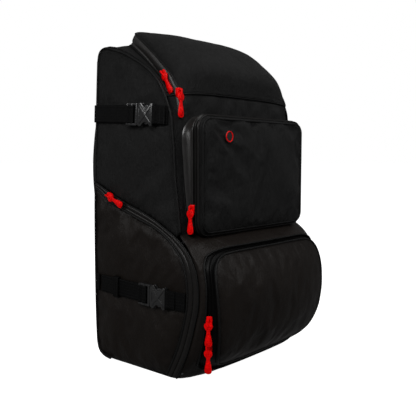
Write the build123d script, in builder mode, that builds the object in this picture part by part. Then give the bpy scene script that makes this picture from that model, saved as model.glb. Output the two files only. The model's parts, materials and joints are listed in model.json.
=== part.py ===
from build123d import *
import os

os.makedirs("parts", exist_ok=True)

# Drone carrying backpack. X runs across, +Y towards the wearer's back, +Z up; the base rests on Z = 0.
# All dimensions are in millimetres.

# ---------------------------------------------------------------- driving dimensions
HALF_WIDTH = 164.5          # outside of the side panels
SIDE_SKIN = 5.0             # upper side panels
SKIN = 4.0                  # other lined fabric panels
INNER_HALF = HALF_WIDTH - SIDE_SKIN - 0.1
BACK_SKIN = 10.0            # foam-backed back panel
TRAY_TOP = 14.0             # rim of the moulded base
GAP = 0.6                   # clearance round every opening panel
BODY_X = (-INNER_HALF, INNER_HALF)
STRIP_Y = 107.0             # seam strip behind the side panels

CROWN_Z = 556.0             # top of the body
SHELF_Z = (223.0, 231.0)    # padded shelf between the compartments
FRONT_Y = -88.0             # front of the body at the shelf

# Y-Z outlines, front edges first
BACK_LINE = ((120, TRAY_TOP), (124, 105), (124, 196), (117, 376), (108, 528))
SIDE_TOP = ((108, 528), (103, 540), (89, 546), (70, 544))
SIDE_FRONT = ((70, 544), (20, 526), (-24, 500), (-50, 471), (-66, 436), (-75, 374), (-81, 310), (-88, 246))
CROWN_TOP = ((108, 528), (104, 546), (90, 555), (63, CROWN_Z), (24, 534), (-18, 503), (-48, 480), (-67, 463))
ZIP_OUTER = ((106, 315), (0, 273), (-77, 238), (-115, 201), (-127, 150), (-118, 98), (-92, 22))
ZIP_INNER = ((106, 303), (0, 258), (-60, 235), (-93, 199), (-104, 150), (-97, 102), (-66, 22))
CROWN_UNDER = (
    (104, 528), (100, 543), (88, 551), (62, 552), (26.5, 530.5), (-15.5, 499.5), (-45, 476.5), (-63, 463),
)
FRONT_LINE = ((-71, 463), (-71, 420), (-75, 374), (-81, 310), (-88, 246), (-88, 231))
ZIP_KNEE = (-40, 255.5)     # point of the outer zip line between its first two bends

# moulded base and removable dividers
BASE_BACK_Y = 120.0
BASE_RADIUS = 18.0
BASE_ROLL = 8.0             # rounding of the edge that stands on the ground
DIVIDER_CENTRE = (0, 18, 350)
DIVIDER_T = 8.0
DIVIDER_DEPTH = 160.0
DIVIDER_HEIGHT = 180.0
DIVIDER_MARGIN = 20.0       # free width at each end of the cross divider

# hood-shaped top lid
LID_TOP = ((46, 573), (27, 559), (-11, 531), (-40, 505), (-61, 482), (-70, 470))
LID_FOOT = ((-63, 471), (-48, 483), (-18, 506), (24, 537), (61, 558))
LID_CROWN = ((46, 578), (16, 570), (-30, 548), (-58, 520), (-76, 490), (-72, 470))
LID_SHOULDER = ((46, 577), (19, 567), (-25, 543), (-54, 516), (-72, 488), (-71.5, 470))
LID_CENTRE = (10, 480)
LID_SKIN = 5.0
LID_REACH = 150.0           # past the lid's side walls
LID_FLANK = 125.0           # where the top starts to rise from the side walls
LID_ROUND = 80.0            # where it has risen to the shoulder line
LID_X = (-LID_REACH, LID_REACH)
LID_Z = (440, 600)
LID_PLAN = ((-126, 62), (126, 62), (147, -72), (-147, -72))
LID_HOLLOW = ((-123, 43), (123, 43), (142.5, -73), (-142.5, -73))
MOUTH = (224, -48, 34)      # width, front and back of the top mouth
TAPE_PLAN = ((-119, 40), (119, 40), (128, -44), (-128, -44))
TAPE_HOLLOW = ((-117, 38), (117, 38), (127, -50), (-127, -50))
TAPE_HEIGHT = 7.0
MOUTH_CUT = 200.0           # height of the cut that opens the mouth

# upper front pocket
UPPER_SIZE = (292, 190, 22)  # width, height, corner radius
UPPER_Z = 333.5              # middle of its height
UPPER_ZIP_Y = (-101.0, -106.0)
UPPER_FACE_Y = -118.0
POCKET_SKIN = 3.5
GUSSET_ROOT_Y = -66.0        # inside the body, where the gusset is cut off by the front
TAPE_INSET = 1.5
SKIRT_CUT = (400, 60, 60)    # room for the fold along the foot of the flap's skirt

# lower front pocket: half widths at the foot, waist and top
LOWER_OUTLINE = ((-132, 226), (132, 226), (150, 132), (136, 28), (-136, 28), (-150, 132))
LOWER_RADII = (24, 24, 120, 24, 24, 120)
LOWER_WALL = 5.0
LOWER_FRAME_Y = -140.0
LOWER_BACK_Y = -141.5
LOWER_EDGE_Y = -154.0
LOWER_CROWN = 13.0
LOWER_TAPER = 50.0           # slope of the panel's rounded edge
CROWN_HOLLOW = 2.0           # how far the hollow reaches into the rounded face
LOWER_TAPE = (0.2, 3.0, 8.0)  # gap outside, width and depth of the zip tape
TOE = ((FRONT_Y, 2), (-106, 3), (-128, 14), (-136, 22.5), (FRONT_Y, 22.5))
TOE_HALF = 116.0

# side pockets
TRAY_OUTLINE = ((107, TRAY_TOP), (107, 303), (0, 258), (-60, 234), (-87, 210), (-87, TRAY_TOP))
POCKET_DEPTH = 13.0
HINGE_Y = 106.0
FLAP_CENTRE = (20, 120)      # the zip gap of the panel opens towards this point
FLAP_GAP = 5.0

# harness
STRAP_W = 62.0
STRAP_T = 12.0
STRAP_SPINE = ((105, 500), (132, 492), (160, 450), (168, 370), (160, 290), (142, 226))
STRAP_CENTRE = ((78, 512), (90, 400), (97, 300), (94, 214))
STRAP_CUT_X = 200.0
STRAP_CUT_Y = (220.0, 90.0)
WEB_W = 30.0
WEB_T = 1.6
BACK_PADS = ((-62, 300, 96, 300), (62, 300, 96, 300), (0, 90, 180, 76))  # x, z, width, height
PAD_RADIUS = 20.0
PAD_Y = (140.0, 100.0)
BODY_TOP = 560.0

# carrying handle
HANDLE_Y = 115.0
HANDLE_Z = 500.0
HANDLE_T = 4.0
HANDLE_OUTER = (88, 52, 18)  # width, height, corner radius
HANDLE_INNER = (56, 22, 9)

# ladder locks and the webbing that runs down from them
LOCK_CENTRE = (95.0, 141.0, 208.0)
LOCK_SIZE = (34, 5, 26)
LOCK_SLOT = (26, 8, 4)
LOCK_SLOTS = (-6, 4)         # heights of the slots from the middle of the lock
TAIL_CENTRE = (117, 132.5, 128)
TAIL_RUN = (0.33, -0.12, -0.93)
TAIL_FACE = (0, 1, -0.129)
TAIL_SIZE = (134, 25)

# sternum strap, its plug and its socket
STERNUM_Y = 166.0
STERNUM_Z = 400.0
STERNUM_W = 22.0
STERNUM_WEB = (35.5, 40, 6.2)    # length, middle from the centre, step between the two webs
CHEST_SOCKET = (26, 8, 28)
CHEST_HOLLOW = (19, 4.4, 20)
CHEST_SOCKET_X = -9.0
CHEST_HOLLOW_X = -5.0
CHEST_BAR = (18, 7, 28)
CHEST_BAR_X = 13.5
CHEST_SLOT = (3, 10)
CHEST_SLOTS_X = (10, 17)
CHEST_PRONG = (18, 3, 5)
CHEST_PRONG_X = -4.0
CHEST_PRONG_Z = 6.0

# side-release buckles
BUCKLE_W = 38.0
BUCKLE_T = 9.0
SOCKET_L = 34.0
BAR_L = 26.0
PRONG_L = 26.0
PRONG_W = 7.0
PRONG_T = 3.5
PRONG_Y = 9.0               # middle of a prong from the middle of the buckle
PRONG_PLAY = 0.5
PLUG_LIFT = 0.4
PLUG_TRIM = 1.0             # how much the plug is smaller than the socket on each side
BUCKLE_ROUND = 3.0
BUCKLE_WALL = 5.0           # walls beside the prongs
BUCKLE_LID = 2.0            # walls above and below them
RELEASE = (14, 12, 2)       # length, width and shift of the release openings
BAR_SLOTS = (0.42, 0.78)    # places of the webbing slots along the bar frame
BAR_SLOT_L = 5.0

# straps on the side panels: Y and Z of the buckle's joint, rise of the strap
UPPER_STRAP = (-4, 432, 0.058)
LOWER_STRAP = (-30, 137, 0.026)
REAR_UPPER_RUN = (4, 116)   # from and to, along each strap
FRONT_UPPER_RUN = (-56, -8)
LOWER_ANCHOR_RUN = (138, 149)
LOWER_RUN = (-72, 134)

# zip sliders and pulls, in the slider's own frame: x along the hanging pull, z outwards
SLIDER = (15, 9, 4)
PIN_X = 3.0
PIN_Z = 8.0
PIN_R = 0.9
EYE_R = 2.3
PULL_L = 36.0
PULL_T = 1.8
PULL_NECK = (12, 2.5)       # end and half width of the narrow part
PULL_TIP = 5.0              # half width at the tip
PULL_ROOT = 1.0
EYE_PLAY = 3.2              # width the eye leaves free between the posts
PIN_PLAY = 0.4
POST = (4, 1.2)             # length and width
POST_CAP = 0.6              # post above the pin
SLIDER_ROUND = 3.0

# place of each slider, direction its pull hangs, outward direction
ZIPS = {
    "hood_top": ((-142.6, -40, 497), (-0.12, -0.76, -0.64), (-1, 0.1, 0)),
    "hood_front": ((-151.5, -71.4, 464), (0, 0, -1), (0, -1, 0)),
    "upper_pocket": ((-146.4, -101, 281), (0, 0, -1), (-1, 0, 0)),
    "lower_upper": ((-156, -142.4, 112), (0, 0, -1), (-1, -0.5, 0)),
    "lower_foot": ((-149, -136, 66), (0, 0, -1), (-1, -0.5, 0)),
    "side_left": ((-HALF_WIDTH, 74, 296), (0, -0.92, -0.39), (-1, 0, 0)),
    "side_right": ((HALF_WIDTH, 74, 296), (0, -0.92, -0.39), (1, 0, 0)),
}

SIDES = (("left", -1), ("right", 1))


# ---------------------------------------------------------------- helpers
def save(builder, label):
    """Label a finished sub-part and write it."""
    builder.part.label = label
    export_step(builder.part, f"parts/{label}.step")


def x_span(sign, inner, outer):
    """Low and high X of a layer that lies between two distances from the middle plane."""
    return sorted((sign * inner, sign * outer))


def moved_down(points, drop):
    """The same outline, lowered."""
    return tuple((y, z - drop) for y, z in points)


def drawn_in(points, centre, distance):
    """The same outline with each point drawn towards a centre by a distance."""
    drawn = []
    for y, z in points:
        reach = ((centre[0] - y) ** 2 + (centre[1] - z) ** 2) ** 0.5
        share = distance / reach
        drawn.append((y + (centre[0] - y) * share, z + (centre[1] - z) * share))
    return tuple(drawn)


def profile_block(runs, x_low, x_high):
    """Solid across X from a closed Y-Z outline; runs of over two points are smooth curves."""
    with BuildPart() as block:
        with BuildSketch(Plane.YZ.offset(x_low)):
            with BuildLine():
                for run in runs:
                    if len(run) > 2:
                        Spline(*run)
                    else:
                        Line(*run)
            make_face()
        extrude(amount=x_high - x_low)
    return block.part


def side_block(points, x_low, x_high):
    """Solid across X from a straight-sided Y-Z outline."""
    with BuildPart() as block:
        with BuildSketch(Plane.YZ.offset(x_low)):
            Polygon(*points, align=None)
        extrude(amount=x_high - x_low)
    return block.part


def plan_block(points, z_low, z_high):
    """Solid up Z from a straight-sided X-Y outline."""
    with BuildPart() as block:
        with BuildSketch(Plane.XY.offset(z_low)):
            Polygon(*points, align=None)
        extrude(amount=z_high - z_low)
    return block.part


def front_block(sketch_faces, y_back, y_front):
    """Solid along Y from an X-Z sketch, between two Y planes."""
    with BuildPart() as block:
        with BuildSketch(Plane.XZ.offset(-y_back)):
            add(sketch_faces)
        extrude(amount=y_back - y_front)
    return block.part


def upper_outline(grow):
    """Rounded outline of the upper front pocket, grown or shrunk."""
    width, height, radius = UPPER_SIZE
    with BuildSketch() as outline:
        with Locations((0, UPPER_Z)):
            RectangleRounded(width + 2 * grow, height + 2 * grow, radius + grow)
    return outline.sketch


def lower_outline(grow):
    """Barrel-sided outline of the lower front pocket, grown or shrunk."""
    with BuildSketch() as outline:
        Polygon(*LOWER_OUTLINE, align=None)
        for (x, z), radius in zip(LOWER_OUTLINE, LOWER_RADII):
            fillet(outline.vertices().sort_by_distance((x, z, 0))[0], radius)
        if grow:
            offset(amount=grow)
    return outline.sketch


def flat_ring(outer, inner):
    """Face between two closed outlines."""
    with BuildSketch() as ring:
        add(outer)
        add(inner, mode=Mode.SUBTRACT)
    return ring.sketch


def back_band(thickness, x_low, x_high):
    """Layer that follows the back line, outside it if the thickness is positive."""
    other = tuple((y + thickness, z) for y, z in BACK_LINE)
    runs = (
        BACK_LINE,
        (BACK_LINE[-1], other[-1]),
        other[::-1],
        (other[0], BACK_LINE[0]),
    )
    return profile_block(runs, x_low, x_high)


# ---------------------------------------------------------------- body shell
for side, sign in SIDES:
    x_low, x_high = x_span(sign, HALF_WIDTH - SIDE_SKIN, HALF_WIDTH)
    rise = (
        BACK_LINE,
        SIDE_TOP,
        SIDE_FRONT,
        (SIDE_FRONT[-1], ZIP_OUTER[2]),
        (ZIP_OUTER[2], ZIP_KNEE, ZIP_OUTER[1], ZIP_OUTER[0]),
        (ZIP_OUTER[0], (STRIP_Y, ZIP_OUTER[0][1])),
        ((STRIP_Y, ZIP_OUTER[0][1]), (STRIP_Y, TRAY_TOP)),
        ((STRIP_Y, TRAY_TOP), BACK_LINE[0]),
    )
    with BuildPart() as upper_side:
        add(profile_block(rise, x_low, x_high))
    save(upper_side, f"upper_side_{side}")

    # coated zip band round the side pocket
    x_low, x_high = x_span(sign, HALF_WIDTH - SKIN, HALF_WIDTH)
    band = (
        ZIP_OUTER,
        (ZIP_OUTER[-1], ZIP_INNER[-1]),
        ZIP_INNER[::-1],
        (ZIP_INNER[0], ZIP_OUTER[0]),
    )
    with BuildPart() as side_zip_band:
        add(profile_block(band, x_low, x_high))
        add(upper_side.part, mode=Mode.SUBTRACT)
    save(side_zip_band, f"side_zip_band_{side}")

    # shallow tray behind the side pocket panel
    x_low, x_high = x_span(sign, INNER_HALF - POCKET_DEPTH, INNER_HALF)
    hollow_low, hollow_high = x_span(sign, INNER_HALF - POCKET_DEPTH + SKIN, HALF_WIDTH)
    with BuildPart() as side_pocket_tray:
        with BuildSketch(Plane.YZ.offset(x_low)):
            Polygon(*TRAY_OUTLINE, align=None)
        extrude(amount=x_high - x_low)
        with BuildSketch(Plane.YZ.offset(hollow_low)):
            Polygon(*TRAY_OUTLINE, align=None)
            offset(amount=-SKIN)
        extrude(amount=hollow_high - hollow_low, mode=Mode.SUBTRACT)
    save(side_pocket_tray, f"side_pocket_tray_{side}")

with BuildPart() as back_panel:
    add(back_band(-BACK_SKIN, *BODY_X))
save(back_panel, "back_panel")

crown_runs = (
    CROWN_TOP,
    (CROWN_TOP[-1], CROWN_UNDER[-1]),
    CROWN_UNDER[::-1],
    (CROWN_UNDER[0], CROWN_TOP[0]),
)
with BuildPart() as crown_panel:
    add(profile_block(crown_runs, *BODY_X))
    with Locations((0, (MOUTH[1] + MOUTH[2]) / 2, CROWN_Z - MOUTH_CUT / 4)):
        Box(MOUTH[0], MOUTH[2] - MOUTH[1], MOUTH_CUT, mode=Mode.SUBTRACT)
save(crown_panel, "crown_panel")

front_inner = tuple((y + SKIN, z) for y, z in FRONT_LINE)
front_runs = (
    FRONT_LINE,
    (FRONT_LINE[-1], front_inner[-1]),
    front_inner[::-1],
    (front_inner[0], FRONT_LINE[0]),
)
with BuildPart() as front_panel:
    add(profile_block(front_runs, *BODY_X))
save(front_panel, "front_panel")

with BuildPart() as divider_shelf:
    shelf_half = INNER_HALF - POCKET_DEPTH
    with Locations((0, (FRONT_Y + STRIP_Y) / 2, sum(SHELF_Z) / 2)):
        Box(2 * shelf_half, STRIP_Y - FRONT_Y, SHELF_Z[1] - SHELF_Z[0])
save(divider_shelf, "divider_shelf")

with BuildPart() as base_tray:
    base_depth = BASE_BACK_Y - FRONT_Y
    base_middle = (0, (FRONT_Y + BASE_BACK_Y) / 2)
    with BuildSketch():
        with Locations(base_middle):
            RectangleRounded(2 * HALF_WIDTH, base_depth, BASE_RADIUS)
    extrude(amount=TRAY_TOP)
    fillet(base_tray.faces().sort_by(Axis.Z)[0].edges(), BASE_ROLL)
    with BuildSketch(Plane.XY.offset(SIDE_SKIN)):
        with Locations(base_middle):
            RectangleRounded(2 * INNER_HALF, base_depth - 2 * SIDE_SKIN, BASE_RADIUS - SIDE_SKIN)
    extrude(amount=TRAY_TOP, mode=Mode.SUBTRACT)
save(base_tray, "base_tray")

with BuildPart() as padded_dividers:
    with Locations(DIVIDER_CENTRE):
        Box(DIVIDER_T, DIVIDER_DEPTH, DIVIDER_HEIGHT)
        Box(2 * (INNER_HALF - DIVIDER_MARGIN), DIVIDER_T, DIVIDER_HEIGHT)
save(padded_dividers, "padded_dividers")


# ---------------------------------------------------------------- hood-shaped lid
lid_runs = (
    LID_TOP,
    (LID_TOP[-1], LID_FOOT[0]),
    LID_FOOT,
    (LID_FOOT[-1], LID_TOP[0]),
)
lid_under = drawn_in(LID_TOP, LID_CENTRE, LID_SKIN)
skin_runs = (
    LID_TOP,
    (LID_TOP[-1], lid_under[-1]),
    lid_under[::-1],
    (lid_under[0], LID_TOP[0]),
)
lid_sections = (
    (-LID_REACH, LID_TOP),
    (-LID_FLANK, LID_TOP),
    (-LID_ROUND, LID_SHOULDER),
    (0, LID_CROWN),
    (LID_ROUND, LID_SHOULDER),
    (LID_FLANK, LID_TOP),
    (LID_REACH, LID_TOP),
)

with BuildPart() as lid_panel:
    for x, top in lid_sections:
        under = drawn_in(top, LID_CENTRE, LID_SKIN)
        with BuildSketch(Plane.YZ.offset(x)):
            with BuildLine():
                Spline(*top)
                Line(top[-1], under[-1])
                Spline(*under[::-1])
                Line(under[0], top[0])
            make_face()
    loft(ruled=True)
    add(plan_block(LID_PLAN, *LID_Z), mode=Mode.INTERSECT)
save(lid_panel, "lid_panel")

with BuildPart() as lid_skirt:
    add(profile_block(lid_runs, *LID_X))
    add(plan_block(LID_PLAN, *LID_Z), mode=Mode.INTERSECT)
    add(profile_block(skin_runs, *LID_X), mode=Mode.SUBTRACT)
    add(plan_block(LID_HOLLOW, *LID_Z), mode=Mode.SUBTRACT)
save(lid_skirt, "lid_skirt")

tape_foot = CROWN_TOP[3:7]
tape_rim = moved_down(tape_foot, -TAPE_HEIGHT)
tape_runs = (
    tape_foot,
    (tape_foot[-1], tape_rim[-1]),
    tape_rim[::-1],
    (tape_rim[0], tape_foot[0]),
)
with BuildPart() as hood_zip_tape:
    add(profile_block(tape_runs, *LID_X))
    add(plan_block(TAPE_PLAN, *LID_Z), mode=Mode.INTERSECT)
    add(plan_block(TAPE_HOLLOW, *LID_Z), mode=Mode.SUBTRACT)
    add(crown_panel.part, mode=Mode.SUBTRACT)
save(hood_zip_tape, "hood_zip_tape")


# ---------------------------------------------------------------- upper front pocket
front_top = (0, FRONT_LINE[0][1])
front_foot = (0, FRONT_LINE[-1][1])
body_front = (
    (FRONT_LINE[0], front_top),
    (front_top, front_foot),
    (front_foot, FRONT_LINE[-1]),
    FRONT_LINE[::-1],
)
with BuildPart() as upper_gusset:
    ring = flat_ring(upper_outline(0), upper_outline(-SKIN))
    add(front_block(ring, GUSSET_ROOT_Y, UPPER_ZIP_Y[0]))
    add(profile_block(body_front, *BODY_X), mode=Mode.SUBTRACT)
save(upper_gusset, "upper_gusset")

with BuildPart() as upper_zip_tape:
    ring = flat_ring(upper_outline(-TAPE_INSET), upper_outline(-SKIN))
    add(front_block(ring, *UPPER_ZIP_Y))
save(upper_zip_tape, "upper_zip_tape")

with BuildPart() as upper_flap_skirt:
    ring = flat_ring(upper_outline(0), upper_outline(-POCKET_SKIN))
    add(front_block(ring, UPPER_ZIP_Y[1] - GAP, UPPER_FACE_Y + POCKET_SKIN))
    with Locations((0, UPPER_FACE_Y, UPPER_Z - UPPER_SIZE[1] / 2)):
        Box(*SKIRT_CUT, mode=Mode.SUBTRACT)
save(upper_flap_skirt, "upper_flap_skirt")

with BuildPart() as upper_flap_panel:
    add(front_block(upper_outline(0), UPPER_FACE_Y + POCKET_SKIN, UPPER_FACE_Y))
save(upper_flap_panel, "upper_flap_panel")


# ---------------------------------------------------------------- lower front pocket
with BuildPart() as lower_frame:
    ring = flat_ring(lower_outline(LOWER_WALL), lower_outline(0))
    add(front_block(ring, FRONT_Y, LOWER_FRAME_Y))
    with BuildSketch(Plane.XZ.offset(-FRONT_Y)):
        with Locations((0, (TRAY_TOP + SHELF_Z[1]) / 2)):
            Rectangle(2 * INNER_HALF, SHELF_Z[1] - TRAY_TOP)
        add(lower_outline(SKIN), mode=Mode.SUBTRACT)
    extrude(amount=SKIN)
save(lower_frame, "lower_frame")

with BuildPart() as lower_zip_tape:
    tape_gap, tape_width, tape_depth = LOWER_TAPE
    ring = flat_ring(lower_outline(-tape_gap), lower_outline(-tape_width))
    add(front_block(ring, LOWER_FRAME_Y + tape_depth, LOWER_FRAME_Y))
save(lower_zip_tape, "lower_zip_tape")

with BuildPart() as toe_panel:
    add(side_block(TOE, -TOE_HALF, TOE_HALF))
    add(lower_frame.part, mode=Mode.SUBTRACT)
save(toe_panel, "toe_panel")

with BuildPart() as lower_flap_panel:
    add(front_block(lower_outline(0), LOWER_BACK_Y, LOWER_EDGE_Y))
    with BuildSketch(Plane.XZ.offset(-LOWER_EDGE_Y)):
        add(lower_outline(0))
    extrude(amount=LOWER_CROWN, taper=LOWER_TAPER)
    hollow = front_block(lower_outline(-LOWER_WALL), LOWER_BACK_Y, LOWER_EDGE_Y - CROWN_HOLLOW)
    add(hollow, mode=Mode.SUBTRACT)
save(lower_flap_panel, "lower_flap_panel")


# ---------------------------------------------------------------- side pocket panels
flap_edge = drawn_in(ZIP_INNER, FLAP_CENTRE, FLAP_GAP)
flap_foot = TRAY_TOP + GAP
flap_runs = (
    flap_edge,
    (flap_edge[-1], (flap_edge[-1][0], flap_foot)),
    ((flap_edge[-1][0], flap_foot), (HINGE_Y - GAP, flap_foot)),
    ((HINGE_Y - GAP, flap_foot), flap_edge[0]),
)
for side, sign in SIDES:
    x_low, x_high = x_span(sign, HALF_WIDTH - SKIN, HALF_WIDTH)
    with BuildPart() as side_flap:
        add(profile_block(flap_runs, x_low, x_high))
    save(side_flap, f"side_flap_{side}")


# ---------------------------------------------------------------- straps and buckles
def strap_frame(sign, y, z, rise):
    """Frame on a side panel: x backwards along a strap, z outwards from the bag."""
    return Plane(origin=(sign * HALF_WIDTH, y, z), x_dir=(0, 1, rise), z_dir=(sign, 0, 0))


def webbing(frame, x_from, x_to):
    """Flat strap lying on its frame."""
    with BuildPart(frame) as strap:
        with Locations(((x_from + x_to) / 2, 0, WEB_T / 2)):
            Box(x_to - x_from, WEB_W, WEB_T)
    return strap.part


def buckle_socket(frame):
    """Socket half, hollow and open towards +x, that holds the two prongs."""
    middle = WEB_T + BUCKLE_T / 2 + PLUG_LIFT
    with BuildPart(frame) as socket:
        with Locations((-SOCKET_L / 2, 0, middle)):
            Box(SOCKET_L, BUCKLE_W, BUCKLE_T)
        fillet(socket.edges().filter_by(Axis(frame.origin, frame.z_dir)), BUCKLE_ROUND)
        hollow_height = BUCKLE_T - 2 * BUCKLE_LID
        hollow_length = PRONG_L + 2 * PRONG_PLAY
        with Locations((-hollow_length / 2, 0, middle)):
            Box(hollow_length, BUCKLE_W - 2 * BUCKLE_WALL, hollow_height, mode=Mode.SUBTRACT)
        length, width, shift = RELEASE
        for way in (-1, 1):
            with Locations((-SOCKET_L / 2 + shift, way * BUCKLE_W / 2, middle)):
                Box(length, width, hollow_height, mode=Mode.SUBTRACT)
    return socket.part


def buckle_plug(frame):
    """Plug half: a slotted bar frame over the webbing and two prongs that reach into the socket."""
    middle = WEB_T + BUCKLE_T / 2 + PLUG_LIFT
    with BuildPart(frame) as plug:
        with Locations((BAR_L / 2 + PRONG_PLAY, 0, middle)):
            Box(BAR_L, BUCKLE_W - 2 * PLUG_TRIM, BUCKLE_T - 2 * PLUG_TRIM)
        for share in BAR_SLOTS:
            with Locations((BAR_L * share, 0, middle)):
                Box(BAR_SLOT_L, WEB_W, BUCKLE_T, mode=Mode.SUBTRACT)
        for way in (-1, 1):
            with Locations((PLUG_TRIM - PRONG_L / 2, way * PRONG_Y, middle)):
                Box(PRONG_L, PRONG_W, PRONG_T)
    return plug.part


def both_sides(make):
    """The same fixed piece on the left and the right, as two solids."""
    with BuildPart() as pair:
        for _, sign in SIDES:
            add(make(sign))
    return pair


def upper_strap_frame(sign):
    """Frame of the upper strap on one side."""
    return strap_frame(sign, *UPPER_STRAP)


def lower_strap_frame(sign):
    """Frame of the lower strap on one side."""
    return strap_frame(sign, *LOWER_STRAP)


rear_upper_strap = both_sides(lambda sign: webbing(upper_strap_frame(sign), *REAR_UPPER_RUN))
save(rear_upper_strap, "rear_upper_strap")

front_upper_strap = both_sides(lambda sign: webbing(upper_strap_frame(sign), *FRONT_UPPER_RUN))
save(front_upper_strap, "front_upper_strap")

upper_buckle_sockets = both_sides(lambda sign: buckle_socket(upper_strap_frame(sign)))
save(upper_buckle_sockets, "upper_buckle_sockets")

lower_strap_anchors = both_sides(lambda sign: webbing(lower_strap_frame(sign), *LOWER_ANCHOR_RUN))
save(lower_strap_anchors, "lower_strap_anchors")

for side, sign in SIDES:
    with BuildPart() as upper_plug:
        add(buckle_plug(upper_strap_frame(sign)))
    save(upper_plug, f"upper_buckle_plug_{side}")

    with BuildPart() as lower_strap:
        add(webbing(lower_strap_frame(sign), *LOWER_RUN))
    save(lower_strap, f"lower_strap_{side}")

    with BuildPart() as lower_socket:
        add(buckle_socket(lower_strap_frame(sign)))
    save(lower_socket, f"lower_buckle_socket_{side}")

    with BuildPart() as lower_plug:
        add(buckle_plug(lower_strap_frame(sign)))
    save(lower_plug, f"lower_buckle_plug_{side}")


# ---------------------------------------------------------------- zip sliders and pulls
def zip_slider(frame):
    """Slider body with two posts and a pin across them."""
    length, width, height = SLIDER
    with BuildPart(frame) as slider:
        with Locations((0, 0, GAP + height / 2)):
            Box(length, width, height)
        fillet(slider.edges().filter_by(Axis(frame.origin, frame.z_dir)), SLIDER_ROUND)
        post_length, post_width = POST
        post_height = PIN_Z + PIN_R + POST_CAP - GAP - height
        for way in (-1, 1):
            post_y = way * (width - post_width) / 2
            with Locations((PIN_X, post_y, GAP + height + post_height / 2)):
                Box(post_length, post_width, post_height)
        with Locations(Location((PIN_X, 0, PIN_Z), (90, 0, 0))):
            Cylinder(PIN_R, width)
    return slider


def zip_pull(frame):
    """Pull tab with an eye round the slider's pin, flared towards its tip."""
    eye_width = SLIDER[1] - EYE_PLAY
    neck_end, neck_half = PULL_NECK
    root = PIN_X + PULL_ROOT
    with BuildPart(frame) as pull:
        with Locations(Location((PIN_X, 0, PIN_Z), (90, 0, 0))):
            Cylinder(EYE_R, eye_width)
        with BuildSketch(frame.offset(PIN_Z - PULL_T / 2)):
            Polygon(
                (root, -neck_half),
                (PIN_X + neck_end, -neck_half),
                (PIN_X + PULL_L, -PULL_TIP),
                (PIN_X + PULL_L, PULL_TIP),
                (PIN_X + neck_end, neck_half),
                (root, neck_half),
                align=None,
            )
        extrude(amount=PULL_T)
        with Locations(Location((PIN_X, 0, PIN_Z), (90, 0, 0))):
            Cylinder(PIN_R + PIN_PLAY, SLIDER[1], mode=Mode.SUBTRACT)
    return pull


for zip_name, (place, hang, outward) in ZIPS.items():
    zip_frame = Plane(origin=place, x_dir=hang, z_dir=outward)
    save(zip_slider(zip_frame), f"slider_{zip_name}")
    save(zip_pull(zip_frame), f"pull_{zip_name}")


# ---------------------------------------------------------------- harness on the back
body_corner = (BACK_LINE[-1][0], BODY_TOP)
body_side = (
    BACK_LINE,
    (BACK_LINE[-1], body_corner),
    (body_corner, (0, BODY_TOP)),
    ((0, BODY_TOP), (0, TRAY_TOP)),
    ((0, TRAY_TOP), BACK_LINE[0]),
)


def back_pad(x, z, width, height):
    """Rounded foam pad on the back line."""
    with BuildPart() as pad:
        with BuildSketch(Plane.XZ.offset(-PAD_Y[0])):
            with Locations((x, z)):
                RectangleRounded(width, height, PAD_RADIUS)
        extrude(amount=PAD_Y[0] - PAD_Y[1])
        add(back_band(BACK_SKIN, -HALF_WIDTH, HALF_WIDTH), mode=Mode.INTERSECT)
    return pad.part


def shoulder_strap(sign):
    """Padded strap that curves out from the back and down beside the pads."""
    with BuildPart() as strap:
        with BuildSketch(Plane.YZ.offset(-STRAP_CUT_X)):
            with BuildLine():
                Spline(*STRAP_SPINE)
            trace(line_width=STRAP_T)
        extrude(amount=2 * STRAP_CUT_X)
        with BuildSketch(Plane.XZ.offset(-STRAP_CUT_Y[0]), mode=Mode.PRIVATE) as plan:
            with BuildLine():
                Spline(*[(sign * x, z) for x, z in STRAP_CENTRE])
            trace(line_width=STRAP_W)
        add(front_block(plan.sketch, *STRAP_CUT_Y), mode=Mode.INTERSECT)
        add(profile_block(body_side, -HALF_WIDTH, HALF_WIDTH), mode=Mode.SUBTRACT)
    return strap


for side, sign in SIDES:
    strap = shoulder_strap(sign)
    save(strap, f"shoulder_strap_{side}")

with BuildPart() as back_pads:
    for pad in BACK_PADS:
        add(back_pad(*pad))
save(back_pads, "back_pads")

with BuildPart() as ladder_locks:
    lock_x, lock_y, lock_z = LOCK_CENTRE
    for _, sign in SIDES:
        with Locations((sign * lock_x, lock_y, lock_z)):
            Box(*LOCK_SIZE)
        with Locations([(sign * lock_x, lock_y, lock_z + height) for height in LOCK_SLOTS]):
            Box(*LOCK_SLOT, mode=Mode.SUBTRACT)
save(ladder_locks, "ladder_locks")


def tail_frame(sign):
    """Frame of the webbing that runs from a ladder lock down to the base corner."""
    x, y, z = TAIL_CENTRE
    run_x, run_y, run_z = TAIL_RUN
    return Plane(origin=(sign * x, y, z), x_dir=(sign * run_x, run_y, run_z), z_dir=TAIL_FACE)


with BuildPart() as strap_tails:
    for _, sign in SIDES:
        with Locations(tail_frame(sign)):
            Box(*TAIL_SIZE, WEB_T)
save(strap_tails, "strap_tails")

with BuildPart() as grab_handle:
    with BuildSketch(Plane.XZ.offset(-HANDLE_Y - HANDLE_T)):
        with Locations((0, HANDLE_Z)):
            RectangleRounded(*HANDLE_OUTER)
            RectangleRounded(*HANDLE_INNER, mode=Mode.SUBTRACT)
    extrude(amount=HANDLE_T)
save(grab_handle, "grab_handle")


# ---------------------------------------------------------------- sternum strap
with BuildPart() as sternum_straps:
    web_length, web_x, web_step = STERNUM_WEB
    with Locations((-web_x, STERNUM_Y, STERNUM_Z), (web_x, STERNUM_Y - web_step, STERNUM_Z)):
        Box(web_length, WEB_T, STERNUM_W)
save(sternum_straps, "sternum_straps")

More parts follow.
